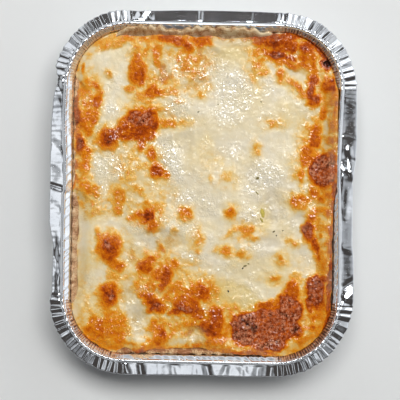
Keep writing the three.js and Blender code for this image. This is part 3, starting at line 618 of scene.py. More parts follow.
def browning_at(x, y):
    """How brown the crust is, with neighbouring blisters running into each other."""
    total = np.zeros_like(x)
    for patch in BLISTERS:
        soft = min(MOST_SOFTNESS, 0.75 * patch.size)
        total += (patch.strength * patch.faded(x, y, -soft, soft)) ** BLISTER_POWER
    return total ** (1 / BLISTER_POWER)


def halo_at(x, y):
    """The tint that the fat carries out of each blister, and the broad golden areas."""
    total = np.zeros_like(x)
    for patch in BLISTERS:
        total += (HALO_SHARE * patch.strength * patch.faded(x, y, -2.5, 7)) ** HALO_POWER
    for patch in GOLDEN:
        total += (patch.strength * patch.faded(x, y, -0.7 * patch.size, 0.45 * patch.size)) ** HALO_POWER
    return total ** (1 / HALO_POWER)


def area_at(table, x, y, soft):
    """The strongest of a table's areas at each place, with soft edges."""
    total = np.zeros_like(x)
    for patch in table:
        total = np.maximum(total, patch.strength * patch.faded(x, y, -soft, soft))
    return total


def blister_height(x, y):
    """How high the blisters stand, less the hollows. Wide and dark ones stand highest."""
    total = np.zeros_like(x)
    for patch in BLISTERS:
        size = min(patch.half_width, patch.half_length)
        height = 0.2 + 1.2 * smooth(2, 12, size) * smooth(0.3, 0.9, patch.strength)
        total = np.maximum(total, height * patch.faded(x, y, -0.6 * size, 2.5))
    return total - area_at(HOLLOWS, x, y, 4)


WARP = 2.4
WARP_LUMPS = 11


def warped(x, y):
    """Each place moved a little by slow noise, which makes the patches' outlines ragged."""
    warp_x = x + WARP * roughness_at(x, y, WARP_LUMPS, 2, 1.5)
    warp_y = y + WARP * roughness_at(x, y, WARP_LUMPS, 2, 6.5)
    return warp_x, warp_y


# %% [markdown]
# ## The cheese crust
#
# The crust is a sheet that sags at its edge over the ruffled pasta. A grid is spread over the outline
# ring by ring, so its rows follow the edge. Then its heights come from slow waves, the blisters and a
# fine grain, and its rim is extruded down to make the underside. A displacement modifier could do the
# heights, but the same numbers also steer the colour, so they are worked out once here.

# %% Levels of the layers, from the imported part
cheese_low, cheese_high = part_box("cheese_topping")
CHEESE_BOTTOM = cheese_low.z / MM
CHEESE_THICKNESS = 4.0
CHEESE_EDGE_THICKNESS = 0.7
# From the rim to this far inwards the crust rises to its full thickness
CHEESE_SAG_STRIP = 16.0
CHEESE_CORNER_SPREAD = 5.8
CORNER_RISE = 2.2
# For the far, left, near and right side: how far the crust's edge stays from the wall, and how high it lies
EDGE_INSETS = (4.9, 4.7, 4.9, 1.3)
EDGE_RISES = (1.6, -0.9, 1.6, 7.2)
MOST_RISE = 9.4
# The least gap to the wall on those sides. At the right one dents push the bead inwards.
CHEESE_EDGE_GAPS = (0.25, 0.25, 0.25, 1.6)
print("the cheese lies between", round(CHEESE_BOTTOM, 2), "and", round(cheese_high.z / MM, 2), "mm")

# Places where the topping ran over the pasta edge to the foil: side, place along it, half width, reach
OVERFLOWS = [
    (0, 0.14, 0.15, 4.6), (0, 0.62, 0.06, 2.0),
    (1, 0.24, 0.07, 4.8), (1, 0.35, 0.045, 4.2), (1, 0.425, 0.035, 3.4), (1, 0.485, 0.035, 3.6),
    (2, 0.262, 0.04, 4.6), (2, 0.74, 0.17, 4.6),
    (3, 0.57, 0.08, 2.6), (3, 0.74, 0.14, 3.4),
]
OVERFLOW_LIFT = 0.85


def wall_out(height, corner_part):
    """How far out the wall's inner face lies at a height, less what the pleats take in a corner."""
    heights, places = [3.6, 49.4, 52.9, 53.6, 56.45, 57.45, 58], [-15.2, -5.3, -5.05, -4.7, -1.5, -0.75, 0]
    return np.interp(height, heights, places) - 0.45 * corner_part


def corner_share(side, along):
    """How far into a corner a place on the outline lies, from 0 to 1."""
    from_middle = np.minimum(along, 1 - along) * side_length(side)
    return 1 - smooth(0.35 * HALF_CORNER_ARC, 1.1 * HALF_CORNER_ARC, from_middle)


def overflow(side, along):
    """How far the topping ran out over the pasta edge here."""
    total = np.zeros_like(along)
    for run_side, place, half, reach in OVERFLOWS:
        total += reach * (side == run_side) * (1 - smooth(0.2, 1.5, np.abs(along - place) / half))
    return total


def edge_rise(side, along):
    """How far the crust's edge is lifted by the ruffles, the wall and the corners."""
    corner_part = corner_share(side, along)
    lifted = np.choose(side, EDGE_RISES) + OVERFLOW_LIFT * overflow(side, along)
    return mix(np.minimum(lifted, MOST_RISE), CORNER_RISE, corner_part)


def cheese_edge_out(side, along):
    """Where the crust's edge lies: uneven, run over in places, and never past the wall."""
    travelled = along * side_length(side)
    uneven = 1.1 * np.sin(travelled / 7.7 + side * 1.9) + 0.8 * np.sin(travelled / 3.9 + side * 3.8)
    uneven = uneven * (1 - smooth(0.93, 1, along)) * smooth(0, 0.07, along) * np.where(side == 1, 0.65, 0.8)
    uneven = uneven + overflow(side, along)
    corner_part = corner_share(side, along)
    wall = wall_out(CHEESE_BOTTOM + edge_rise(side, along), corner_part)
    plain = wall - np.choose(side, EDGE_INSETS) + CHEESE_CORNER_SPREAD * smooth(0, 0.45, corner_part)
    gap = mix(np.choose(side, CHEESE_EDGE_GAPS), -0.3, smooth(0, 0.5, corner_part))
    return np.minimum(plain + uneven, wall - gap)


def undulation(x, y):
    """Long slow waves in the surface, with wavelengths that never meet."""
    broad = np.sin(x / 11.3 + 1.7 * np.sin(y / 23.9))
    across = np.sin(y / 9.1 + 1.3 * np.sin(x / 17.7))
    slanted = np.sin((x - y) / 6.7 + 0.8)
    return 0.7 * (0.5 * broad + 0.35 * across + 0.25 * slanted)


# %% Spread the grid over the outline
CHEESE_ACROSS = 266
CHEESE_ALONG = 338
LUMP_HEIGHT = 0.34
PEBBLE_HEIGHT = 0.5
# Height of the shreds where the cheese melted smoothly and where it stayed rough
SMOOTH_SHRED_HEIGHT = 0.08
SHRED_HEIGHT = 0.44


def square_place(u, v):
    """Side, place along it and ring, 0 in the middle to 1 at the rim, of a place in a square."""
    ring = np.maximum(np.abs(u), np.abs(v))
    safe = np.maximum(ring, 1e-9)
    far = (v >= np.abs(u)) & (v > -u)
    left = ~far & (-u >= np.abs(v)) & (-u > -v)
    near = ~far & ~left & (-v >= np.abs(u)) & (-v > u)
    side = np.where(far, 0, np.where(left, 1, np.where(near, 2, 3)))
    share = np.where(far, -u, np.where(left, -v, np.where(near, u, v))) / safe
    return side, (1 + share) / 2, ring


def cheese_height(x, y, from_edge, lifted):
    """Height of the upper face above the floor, and the grain in it."""
    sag = (1 - smooth(0, CHEESE_SAG_STRIP, from_edge)) ** 2
    warped_x, warped_y = warped(x, y)
    toasted = smooth(0.55, 0.85, browning_at(warped_x, warped_y))
    shredded = area_at(SHREDS, warped_x, warped_y, 5)
    lumps = LUMP_HEIGHT * roughness_at(x, y, 8.5, 2, 3.3)
    shred_height = mix(SMOOTH_SHRED_HEIGHT, SHRED_HEIGHT, shredded)
    shreds = shred_height * (0.5 - np.abs(roughness_at(x + 0.4 * y, y - 0.4 * x, 4.2, 2, 9.1)))
    pebbles = toasted * PEBBLE_HEIGHT * (0.5 - cells_at(x, y, 2.9, 2.0))
    full = CHEESE_THICKNESS + undulation(x, y) + blister_height(warped_x, warped_y) + lumps + shreds + pebbles
    rise = lifted * (1 - smooth(0, CHEESE_SAG_STRIP, from_edge))
    return CHEESE_BOTTOM + mix(full, CHEESE_EDGE_THICKNESS + 0.3 * lumps, sag) + rise


bm = bmesh.new()
bmesh.ops.create_grid(bm, x_segments=CHEESE_ACROSS, y_segments=CHEESE_ALONG, size=1)
flat = np.array([vertex.co for vertex in bm.verts])
cheese_side, cheese_along, cheese_ring = square_place(flat[:, 0], flat[:, 1])
cheese_out = cheese_edge_out(cheese_side, cheese_along)
edge_x, edge_y = on_outline(cheese_side, cheese_along, cheese_out)
cheese_x = MIDDLE_X + (edge_x - MIDDLE_X) * cheese_ring
cheese_y = MIDDLE_Y + (edge_y - MIDDLE_Y) * cheese_ring
from_edge = np.hypot(edge_x - MIDDLE_X, edge_y - MIDDLE_Y) * (1 - cheese_ring)
cheese_z = cheese_height(cheese_x, cheese_y, from_edge, edge_rise(cheese_side, cheese_along))
move_vertices(bm, np.stack([cheese_x, cheese_y, cheese_z], axis=1))
print("cheese grid of", len(bm.verts), "vertices")

# %% Extrude the rim down to the underside
EDGE_DROP = 0.35 * MM


def extrude_rim(bm, edges, change):
    """Extrudes the rim's edges once and moves each new vertex with change(vertex)."""
    made = bmesh.ops.extrude_edge_only(bm, edges=edges)["geom"]
    for vertex in [item for item in made if isinstance(item, bmesh.types.BMVert)]:
        change(vertex)
    return [item for item in made if isinstance(item, bmesh.types.BMEdge) and item.is_boundary]


def drop_edge(vertex):
    vertex.co.z -= EDGE_DROP


def turn_under(vertex):
    """Rounds the edge a little, below where it is seen."""
    vertex.co.x *= 0.99
    vertex.co.y *= 0.992
    vertex.co.z -= EDGE_DROP


def tuck_under(vertex):
    """Carries the underside inwards to the flat middle of the crust's bottom."""
    vertex.co.x *= 0.86
    vertex.co.y *= 0.89
    vertex.co.z = CHEESE_BOTTOM * MM


rim = [edge for edge in bm.edges if edge.is_boundary]
for change in (drop_edge, turn_under, tuck_under):
    rim = extrude_rim(bm, rim, change)
bmesh.ops.edgeloop_fill(bm, edges=rim)
bmesh.ops.recalc_face_normals(bm, faces=bm.faces)
cheese = new_piece("cheese_crust", bm)
print("cheese crust:", triangles_of(cheese), "triangles")

# %% Paint the crust's fields on its vertices
RIM_BROWNING_AND_SHADE = 0.5
FINE_WARP = 1.2
places = vertex_places(cheese)
x, y = places[:, 0], places[:, 1]
warp_x, warp_y = warped(x, y)
warp_x = warp_x + FINE_WARP * roughness_at(x, y, 4, 2, 2.5)
warp_y = warp_y + FINE_WARP * roughness_at(x, y, 4, 2, 7.5)
speckle = roughness_at(x, y, 3.0, 2, 12.0)
mottle = smooth(-0.5, 0.5, roughness_at(x, y, 6.5, 3, 18.0))
blistered = browning_at(warp_x, warp_y) * (1 + 0.08 * speckle)
halo = halo_at(warp_x, warp_y) * (0.55 + 0.6 * mottle)
out, corner_part = out_of(x, y)
# The rim browned most where it met the foil, and least along the near half of the left side; the darker rim
# is also painted shade along the wall
spared = 0.6 * smooth(-95, -105, x) * smooth(0, -20, y)
near_rim = smooth(-18, -9, out) * (1 - 0.45 * corner_part) * (1 - spared)
halo = np.maximum(halo, RIM_BROWNING_AND_SHADE * near_rim * (0.4 + 0.8 * mottle))
brown = np.clip((blistered ** 5 + halo ** 5) ** (1 / 5), 0, 1.2)
shredded = area_at(SHREDS, warp_x, warp_y, 5)
# Grey band next to the wall: the crust is thin there, and the band is also painted shade of the wall
thin_and_shaded_rim = 0.9 * smooth(-14, -7, out) * (1 - corner_part)
thin_and_wall_shade = np.maximum(area_at(HOLLOWS, warp_x, warp_y, 4.5), thin_and_shaded_rim)
thin_and_wall_shade = np.clip(thin_and_wall_shade, 0, 1) * (0.25 + 0.75 * mottle)
yellow = 0.2 * smooth(-0.2, 0.5, roughness_at(x, y, 20, 3, 15.0)) + area_at(OIL, warp_x, warp_y, 7)
for name, values in [("brown", brown), ("thin_and_wall_shade", thin_and_wall_shade), ("yellow", yellow), ("shreds", shredded)]:
    paint(cheese, name, values)
    print(name, "is", round(float(values.mean()), 3), "on average")

# %% [markdown]
# ## The pasta sheets
#
# Lasagna sheets have ruffled edges that show as a wavy tan line between crust and foil. Each sheet is the
# same ring body as the tray, with a sine wave along its two ruffled sides. The upper sheet is ruffled at
# the far and near ends, and the lower one at the left and right. In the oven the ruffles dried and turned
# up against the foil, so each side has its own curl, and every row is kept inside the wall.


# %% Shape a pasta sheet
PASTA_THICKNESS = 2.2
# The ruffles are pressed against the foil, and the cut edges and corners end short of it
PASTA_EDGE_GAP = -0.05
CUT_EDGE_INSET = 6.2
CORNER_INSET = 9.0
RUFFLE_STRIP = 9.0


def pasta_sheet(name, node, lift, pitch, ruffle, scallop, curls, curl_from):
    """A sheet `lift` above its node's underside, with waves `pitch` apart that rise and bulge by `ruffle` and
    `scallop`. `curls` says how far each ruffled side turns up, from the share `curl_from` of the way out."""
    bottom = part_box(node)[0].z / MM + lift
    top = bottom + PASTA_THICKNESS
    middle = (bottom + top) / 2
    side, along = outline_stations(2.0, 0.8)
    travelled = along * side_length(side) - HALF_CORNER_ARC
    straight = 2 * half_straight(side)
    waves = np.round(straight / pitch)
    is_cut = ~np.isin(side, list(curls))
    on_ruffle = ~is_cut & (travelled >= 0) & (travelled <= straight)
    phase = 2 * math.pi * travelled / (straight / waves)
    wave = np.where(on_ruffle, np.sin(phase + 0.9 * np.sin(phase / 3.7)), 0)
    wave = wave * (0.75 + 0.25 * np.sin(phase / 5.3))
    corner_part = corner_share(side, along)
    inset = mix(np.where(is_cut, CUT_EDGE_INSET, 0), CORNER_INSET, smooth(0.4, 1, corner_part))
    curl = np.choose(side, [curls.get(number, 0) for number in range(4)]) * (1 - corner_part)
    curl = curl * (1 - 0.12 * overflow(side, along) * (side == 0))
    edge_up = middle + ruffle * wave + curl
    inner = wall_out(middle, corner_part) - RUFFLE_STRIP - CORNER_INSET
    edge = wall_out(edge_up, corner_part) - PASTA_EDGE_GAP - inset - scallop * (0.5 - 0.5 * wave) * on_ruffle
    rows = []
    outwards = [0, 0.4, 0.5, 0.58, 0.64, 0.7, 0.76, 0.82, 0.88, 0.94]
    rounded_edge = [(1, -0.55), (1, 0.55)]
    for share, face in [(s, -1) for s in outwards] + rounded_edge + [(s, 1) for s in reversed(outwards)]:
        up = middle + face * PASTA_THICKNESS / 2 + ruffle * wave * smooth(0.1, 0.9, share)
        up = up + curl * smooth(curl_from, 0.94, share)
        out = np.minimum(mix(inner, edge, share), wall_out(up, corner_part) - PASTA_EDGE_GAP)
        rows.append(np.stack([*on_outline(side, along, out), up], axis=1))
    under = np.broadcast_to([MIDDLE_X, MIDDLE_Y, bottom], rows[0].shape)
    over = np.broadcast_to([MIDDLE_X, MIDDLE_Y, top], rows[0].shape)
    piece = ring_body(name, np.stack([under, *rows, over], axis=1))
    print(name + ":", triangles_of(piece), "triangles")
    return piece


LEFT, RIGHT, FAR, NEAR = 1, 3, 0, 2
lower_pasta = pasta_sheet(
    "pasta_sheet_lower_ruffled", "pasta_sheet_lower", 1.0, 9.5, 0.7, 0.3, {LEFT: 7.7, RIGHT: 4.6}, 0.48
)
upper_pasta = pasta_sheet(
    "pasta_sheet_upper_ruffled", "pasta_sheet_upper", 1.9, 10.0, 0.8, 0.9, {FAR: 10.6, NEAR: 4.4}, 0.58
)

# %% [markdown]
# ## Herb and pepper flecks
#
# A few crumbs of herb and pepper lie half sunk in the cheese. Each is a squashed icosphere, set at the
# height of the crust where it lies. All of them are one object, because they are one ingredient.

# %% Scatter the flecks: x, y, length, width, turn, tone from black pepper to yellow herb
FLECKS = [
    (47.6, 13, 3.6, 2.2, 35, 0.5), (47.5, 0, 4.2, 1.1, -45, 0.6), (52.4, -18, 8.6, 4.0, -80, 1.0),
    (52, -24, 4.4, 2.0, -60, 0.8), (63, -34, 2.4, 1.5, 30, 0.35), (65.4, -37.4, 1.5, 1.1, 80, 0.1),
    (71, -33, 1.3, 1.0, 0, 0.1), (38, -65, 3.2, 1.4, 10, 0.4), (36, -67, 2.0, 1.3, 50, 0.1),
    (41, -63, 1.8, 1.0, -20, 0.5), (23.6, -87.6, 2.2, 1.5, -70, 0.0), (49.5, 81, 1.4, 1.0, 0, 0.3),
    (11.5, 78, 1.3, 0.9, 0, 0.3), (-6, 71, 2.2, 1.0, 15, 0.4), (-36, 41, 1.8, 0.9, 60, 0.2),
]
FLECK_HALF_THICKNESS = 0.4


def height_on(piece, x, y):
    """Height of the piece's top at a place."""
    hit, location, _normal, _face = piece.ray_cast(Vector((x * MM, y * MM, 0.2)), Vector((0, 0, -1)))
    return location.z / MM if hit else CHEESE_BOTTOM + CHEESE_THICKNESS


bpy.context.view_layer.update()
bm = bmesh.new()
fleck_tone = bm.verts.layers.float.new("tone")
for table_x, table_y, length, width, turn, tone in FLECKS:
    fleck_x, fleck_y = table_x + TABLE_SHIFT[0], table_y + TABLE_SHIFT[1]
    made = bmesh.ops.create_icosphere(bm, subdivisions=3, radius=1)["verts"]
    top = height_on(cheese, fleck_x, fleck_y)
    cosine, sine = math.cos(math.radians(turn)), math.sin(math.radians(turn))
    for vertex in made:
        vertex[fleck_tone] = tone
        crumple = 1 + 0.35 * noise.noise(vertex.co * 2.3 + Vector((fleck_x, fleck_y, 0)))
        a, b, c = vertex.co * crumple
        a, b = a * length / 2, b * width / 2
        x, y = fleck_x + a * cosine - b * sine, fleck_y + a * sine + b * cosine
        vertex.co = Vector((x, y, top + FLECK_HALF_THICKNESS * c)) * MM
flecks = new_piece("herb_flecks", bm)
print(len(FLECKS), "flecks")

# %% [markdown]
# ## Materials
#
# Foods look wrong with one flat colour, because each has grain, stains and wet spots. All the materials
# below are procedural: noise on object coordinates for the fine grain, and the painted attributes for
# what belongs to a place. A small set of helpers keeps the node trees short. Two effects are used by more
# than one food, grain and drift of tone, so they are node groups.


# %% Helpers for node trees
def linear(red, green, blue):
    """A colour that is seen as these 0 to 255 values, as the linear one that shaders take."""
    seen = [channel / 255 for channel in (red, green, blue)]
    return [*(((c + 0.055) / 1.055) ** 2.4 if c > 0.04045 else c / 12.92 for c in seen), 1.0]


class Tree:
    """Adds nodes to a node tree and links them in one call."""

    def __init__(self, tree):
        self.tree = tree

    def add(self, kind, inputs=None, **settings):
        node = self.tree.nodes.new(kind)
        for key, value in settings.items():
            setattr(node, key, value)
        for key, value in (inputs or {}).items():
            if isinstance(value, bpy.types.NodeSocket):
                self.tree.links.new(value, node.inputs[key])
            else:
                node.inputs[key].default_value = value
        return node

    def math(self, operation, first, second=0.0, third=0.0):
        return self.add("ShaderNodeMath", {0: first, 1: second, 2: third}, operation=operation).outputs[0]

    def spread(self, value, start, end, low=0.0, high=1.0):
        """Maps a value from start..end to low..high with an S curve."""
        inputs = {"Value": value, "From Min": start, "From Max": end, "To Min": low, "To Max": high}
        return self.add("ShaderNodeMapRange", inputs, interpolation_type="SMOOTHSTEP").outputs["Result"]

    def mix(self, share, first, second, blend="MIX"):
        inputs = {0: share, 6: first, 7: second}
        return self.add("ShaderNodeMix", inputs, data_type="RGBA", blend_type=blend).outputs[2]

    def noise(self, place, scale, detail=3.0, roughness=0.55):
        inputs = {"Vector": place, "Scale": scale, "Detail": detail, "Roughness": roughness}
        return self.add("ShaderNodeTexNoise", inputs).outputs["Fac"]

    def ramp(self, value, *stops):
        """A colour for a value, from stops of a position and a seen colour."""
        node = self.add("ShaderNodeValToRGB", {"Fac": value})
        elements = node.color_ramp.elements
        while len(elements) < len(stops):
            elements.new(0.5)
        for element, (position, *colour) in zip(elements, stops):
            element.position = position
            element.color = linear(*colour)
        return node.outputs["Color"]

    def bump(self, height, strength, distance):
        inputs = {"Strength": strength, "Distance": distance, "Height": height}
        return self.add("ShaderNodeBump", inputs).outputs["Normal"]

    def attribute(self, name):
        return self.add("ShaderNodeAttribute", attribute_name=name).outputs["Fac"]

    def place(self):
        return self.add("ShaderNodeTexCoord").outputs["Object"]


def new_material(name):
    """A material with an empty Principled shader, and the tree to build on."""
    material = bpy.data.materials.new(name)
    material.use_nodes = True
    return material, Tree(material.node_tree), material.node_tree.nodes["Principled BSDF"]


def connect(tree, shader, **inputs):
    """Sets or links the shader's sockets, which are named with _ for each space."""
    for key, value in inputs.items():
        socket = shader.inputs[key.replace("_", " ")]
        if isinstance(value, bpy.types.NodeSocket):
            tree.tree.links.new(value, socket)
        else:
            socket.default_value = value


def dress(piece, material):
    piece.data.materials.clear()
    piece.data.materials.append(material)


# %% Node groups that the foods share
def new_group(name, size_name, *results):
    """A group that takes a place and a size. Also returns its tree, its place and one over its size."""
    group = bpy.data.node_groups.new(name, "ShaderNodeTree")
    face = group.interface
    face.new_socket("Place", in_out="INPUT", socket_type="NodeSocketVector")
    face.new_socket(size_name, in_out="INPUT", socket_type="NodeSocketFloat")
    for result in results:
        face.new_socket(result, in_out="OUTPUT", socket_type="NodeSocketFloat")
    tree = Tree(group)
    given = tree.add("NodeGroupInput").outputs
    return group, tree, given["Place"], tree.math("DIVIDE", 1.0, given[size_name])


# Fine wet grain: a height from two sizes of noise, and a mask of its pores
FOOD_GRAIN, tree, place, scale = new_group("food_grain", "Grain size", "Height", "Pores")
coarse_grain = tree.noise(place, scale, 2.0, 0.5)
fine_grain = tree.noise(place, tree.math("MULTIPLY", scale, 2.7), 1.0, 0.5)
grain_height = tree.math("MULTIPLY_ADD", fine_grain, 0.4, coarse_grain)
tree.add("NodeGroupOutput", {"Height": grain_height, "Pores": tree.spread(fine_grain, 0.36, 0.3)})

# Slow drift of tone over a surface, about 0.5, to darken or tint a food unevenly
TONE_DRIFT, tree, place, scale = new_group("tone_drift", "Patch size", "Drift")
slow = tree.noise(place, scale, 4.0, 0.5)
tree.add("NodeGroupOutput", {"Drift": tree.spread(slow, 0.3, 0.7)})


def grain(tree, place, size):
    node = tree.add("ShaderNodeGroup", {"Place": place, "Grain size": size}, node_tree=FOOD_GRAIN)
    return node.outputs["Height"], node.outputs["Pores"]


def drift(tree, place, size):
    node = tree.add("ShaderNodeGroup", {"Place": place, "Patch size": size}, node_tree=TONE_DRIFT)
    return node.outputs["Drift"]


# %% [markdown]
# ### Cheese
#
# The browning attribute picks a colour from cream through yellow and orange to a dark red-brown. The
# toasted parts are pebbly, with paler crests over dark gaps. The whole crust is wet with fat, which gives
# the small white glints: a smooth coat over a bumpy surface.

# %% The cheese material
cheese_material, tree, shader = new_material("baked_cheese")
place = tree.place()
browned = tree.attribute("brown")
shredded = tree.attribute("shreds")
height, pores = grain(tree, place, 0.0015)
toasted = tree.spread(browned, 0.5, 0.85)
freckles = tree.spread(tree.noise(place, 240.0, 6.0, 0.8), 0.3, 0.7, -0.11, 0.11)
freckles = tree.math("MULTIPLY", freckles, tree.spread(browned, 0.0, 0.3, 0.55, 1.0))
crumbs = tree.spread(tree.noise(place, 280.0, 6.0, 0.8), 0.38, 0.62, 0.17, -0.13)
broad_crumbs = tree.spread(tree.noise(place, 90.0, 3.0), 0.35, 0.65, 0.06, -0.08)
crumbs = tree.math("ADD", crumbs, broad_crumbs)
tone = tree.math("MULTIPLY_ADD", crumbs, toasted, tree.math("ADD", browned, freckles))
crust = tree.ramp(
    tree.math("MULTIPLY", tone, 0.8),
    (0.0, 232, 218, 184),
    (0.11, 231, 205, 148),
    (0.22, 232, 184, 92),
    (0.33, 228, 152, 40),
    (0.44, 224, 130, 18),
    (0.55, 198, 94, 12),
    (0.66, 172, 72, 16),
    (0.78, 132, 50, 14),
    (0.88, 100, 38, 14),
    (0.99, 20, 14, 12),
)
# Cream turns milky in places, yellow under oil, grey where it is thin and in a band of painted shade by the
# wall, and white where shreds stayed
milky = tree.math("MULTIPLY", drift(tree, place, 0.017), tree.spread(browned, 0.3, 0.05, 0.0, 0.55))
crust = tree.mix(milky, crust, linear(228, 220, 204))
yellowed = tree.math("MULTIPLY", tree.attribute("yellow"), 0.75)
crust = tree.mix(yellowed, crust, tree.mix(1.0, crust, linear(246, 230, 170), "MULTIPLY"))
greyed = tree.math("MULTIPLY", tree.attribute("thin_and_wall_shade"), 0.42)
crust = tree.mix(greyed, crust, linear(160, 144, 116))
whitened = tree.math("MULTIPLY", shredded, tree.spread(browned, 0.15, 0.5, 0.3, 0.0))
crust = tree.mix(whitened, crust, linear(238, 232, 216))
# The darkest blisters carry pale crumbs, except where they are burnt black
crumbled = tree.spread(tree.noise(place, 360.0, 6.0, 0.8), 0.45, 0.6, 0.0, 0.9)
crusted = tree.math("MULTIPLY", tree.spread(browned, 0.8, 0.93), tree.spread(browned, 1.12, 0.98))
crust = tree.mix(tree.math("MULTIPLY", crusted, crumbled), crust, linear(222, 150, 112))
# Relief under the grain, then the wet coat that glints in droplets
wet_spots = tree.spread(tree.noise(place, 70.0, 3.0), 0.5, 0.64)
crisp = tree.spread(browned, 0.12, 0.45)
relief = tree.math("MULTIPLY_ADD", wet_spots, 0.5, 0.2)
relief = tree.math("MULTIPLY_ADD", crisp, 1.1, relief)
relief = tree.math("MULTIPLY_ADD", shredded, 1.4, relief)
bump = tree.bump(tree.math("MULTIPLY", height, relief), 1.0, 0.0005)
rough = tree.spread(toasted, 0.0, 1.0, 0.36, 0.5)
droplets = tree.spread(tree.noise(place, 560.0, 1.0), 0.51, 0.59)
shine = tree.math("MULTIPLY_ADD", wet_spots, 0.42, tree.math("MULTIPLY_ADD", crisp, 0.22, 0.05))
shine = tree.math("MULTIPLY_ADD", toasted, -0.26, tree.math("MULTIPLY_ADD", shredded, 0.85, shine))
shine = tree.math("MULTIPLY_ADD", shine, droplets, tree.spread(browned, 0.2, 0.5, 0.08, 0.0))
gloss = tree.spread(browned, 0.1, 0.6, 0.3, 0.06)
beads = tree.bump(tree.noise(place, 340.0, 2.0, 0.5), 1.0, 0.0009)
connect(tree, shader, Base_Color=crust, Roughness=rough, Normal=bump, Coat_Normal=beads)
connect(tree, shader, Coat_Weight=shine, Coat_Roughness=0.05, Coat_IOR=2.2, IOR=1.4, Specular_IOR_Level=gloss)
dress(cheese, cheese_material)

# %% [markdown]
# ### Foil
#
# Foil is bare bright metal with a rolled grain, so almost all of its look is what it mirrors. Roughness
# stays low and a faint crinkle bends the reflections. Where food has baked on, a brown glaze hides the
# metal: the attribute says where, and noise breaks its edge.

# %% Paint the baked-on stain, then the foil material
CORNER_STAINS = [
    # signs of the corner's x and y, amount and darkness of what baked on there
    (-1, 1, 0.75, 0.02), (1, 1, 0.62, 0.6), (-1, -1, 0.66, 0.52), (1, -1, 0.95, 0.8),
]

# Food that burnt onto the wall
WALL_STAINS = patches([
    (-118, 84, 4, 5, 90), (-118, 70, 4, 12, 100), (-117, 53, 3, 6, 70), (-118, 3, 3, 5, 90),
    (-117, 22, 3, 4, 60), (-52, -145, 10, 3, 90), (-35, 143, 45, 3, 35), (118, -45, 5, 75, 34),
    (70, 144, 20, 4, 80), (-68, 142, 10, 4, 90),
])
places = vertex_places(tray)
x, y, z = places.T
out, corner_part = out_of(x, y)
inner = np.empty(len(x))
tray.data.attributes["inner"].data.foreach_get("value", inner)
inside = inner * smooth(-0.9, -2.4, out) * smooth(20, 40, z)
stain = 0.04 * inside * smooth(-0.2, 0.5, roughness_at(x, y, 9, 3, 31.0))
burn = np.full_like(x, 0.35)
for sign_x, sign_y, amount, darkness in CORNER_STAINS:
    past_x = sign_x * (x - MIDDLE_X) - CORNER_CENTRE_X
    past_y = sign_y * (y - MIDDLE_Y) - CORNER_CENTRE_Y
    here = smooth(-8, 10, past_x) * smooth(-8, 10, past_y)
    stain = np.maximum(stain, amount * here * inside)
    burn = mix(burn, darkness, here)
stain = np.maximum(stain, area_at(WALL_STAINS, x, y, 2.5) * inside)
paint(tray, "stain", stain)
paint(tray, "burn", burn)

foil_material, tree, shader = new_material("pressed_foil")
place = tree.place()
crinkle = tree.noise(place, 260.0, 3.0)
# The marks of the rollers are fine lines along X
rolled_place = tree.add("ShaderNodeMapping", {"Vector": place, "Scale": (60.0, 1400.0, 60.0)})
rolled = tree.noise(rolled_place.outputs["Vector"], 1.0, 2.0)
in_fold = tree.math("MULTIPLY_ADD", tree.attribute("fold"), 0.5, 0.95)
stained = tree.math("MULTIPLY", tree.attribute("stain"), in_fold)
streaks = tree.noise(place, 420.0, 3.0)
patchy = tree.spread(streaks, 0.3, 0.7, 0.5, 1.5)
glaze = tree.spread(tree.math("MULTIPLY", stained, patchy), 0.1, 0.8)
dark = tree.math("ADD", tree.attribute("burn"), tree.math("SUBTRACT", crinkle, 0.5))
# The glaze in the pleats' valleys is darkened: painted shade in the folds, added to the burn
painted_fold_shade = tree.math("POWER", tree.attribute("fold"), 2.5)
dark = tree.math("MULTIPLY_ADD", tree.math("SUBTRACT", painted_fold_shade, 0.2), 1.3, dark)
glaze_stops = [(0.0, 236, 206, 164), (0.4, 214, 166, 124), (0.7, 166, 112, 80), (1.0, 84, 54, 40)]
glaze_colour = tree.ramp(dark, *glaze_stops)
metal = tree.ramp(tree.noise(place, 45.0, 3.0), (0.3, 216, 219, 224), (0.7, 236, 238, 241))
foil_bump = tree.math("ADD", tree.math("MULTIPLY", crinkle, 0.8), tree.math("MULTIPLY", rolled, 0.2))
bump = tree.bump(foil_bump, 0.09, 0.0006)
foil_rough = tree.mix(glaze, (0.1, 0.1, 0.1, 1), (0.3, 0.3, 0.3, 1))
metal_share = tree.math("SUBTRACT", 1.0, tree.math("MULTIPLY", glaze, 0.4))
foil_colour = tree.mix(glaze, metal, glaze_colour)
connect(tree, shader, Base_Color=foil_colour, Metallic=metal_share, Roughness=foil_rough, Normal=bump)
dress(tray, foil_material)

# %% [markdown]
# ### Pasta, filling, sauce and herbs
#
# The pasta edges are cooked tan with stains and specks. The filling and the sauce keep the imported
# shapes, because almost nothing of them shows, and only get a mince-like material.


# %% The pasta material, once for each sheet
def pasta_material(name, pale, tan, dark):
    material, tree, shader = new_material(name)
    place = tree.place()
    height, pores = grain(tree, place, 0.0022)
    stains = tree.math("MULTIPLY_ADD", drift(tree, place, 0.007), 0.7, tree.attribute("scorch"))
    specks = tree.spread(tree.noise(place, 800.0, 2.0), 0.35, 0.65, -0.22, 0.22)
    shade = tree.math("ADD", specks, tree.math("MULTIPLY_ADD", pores, 0.45, stains))
    colour = tree.ramp(shade, (0.1, *pale), (0.5, *tan), (0.9, *dark))
    bump = tree.bump(height, 0.5, 0.0006)
    connect(tree, shader, Base_Color=colour, Roughness=tree.spread(pores, 0, 1, 0.38, 0.6), Normal=bump)
    return material


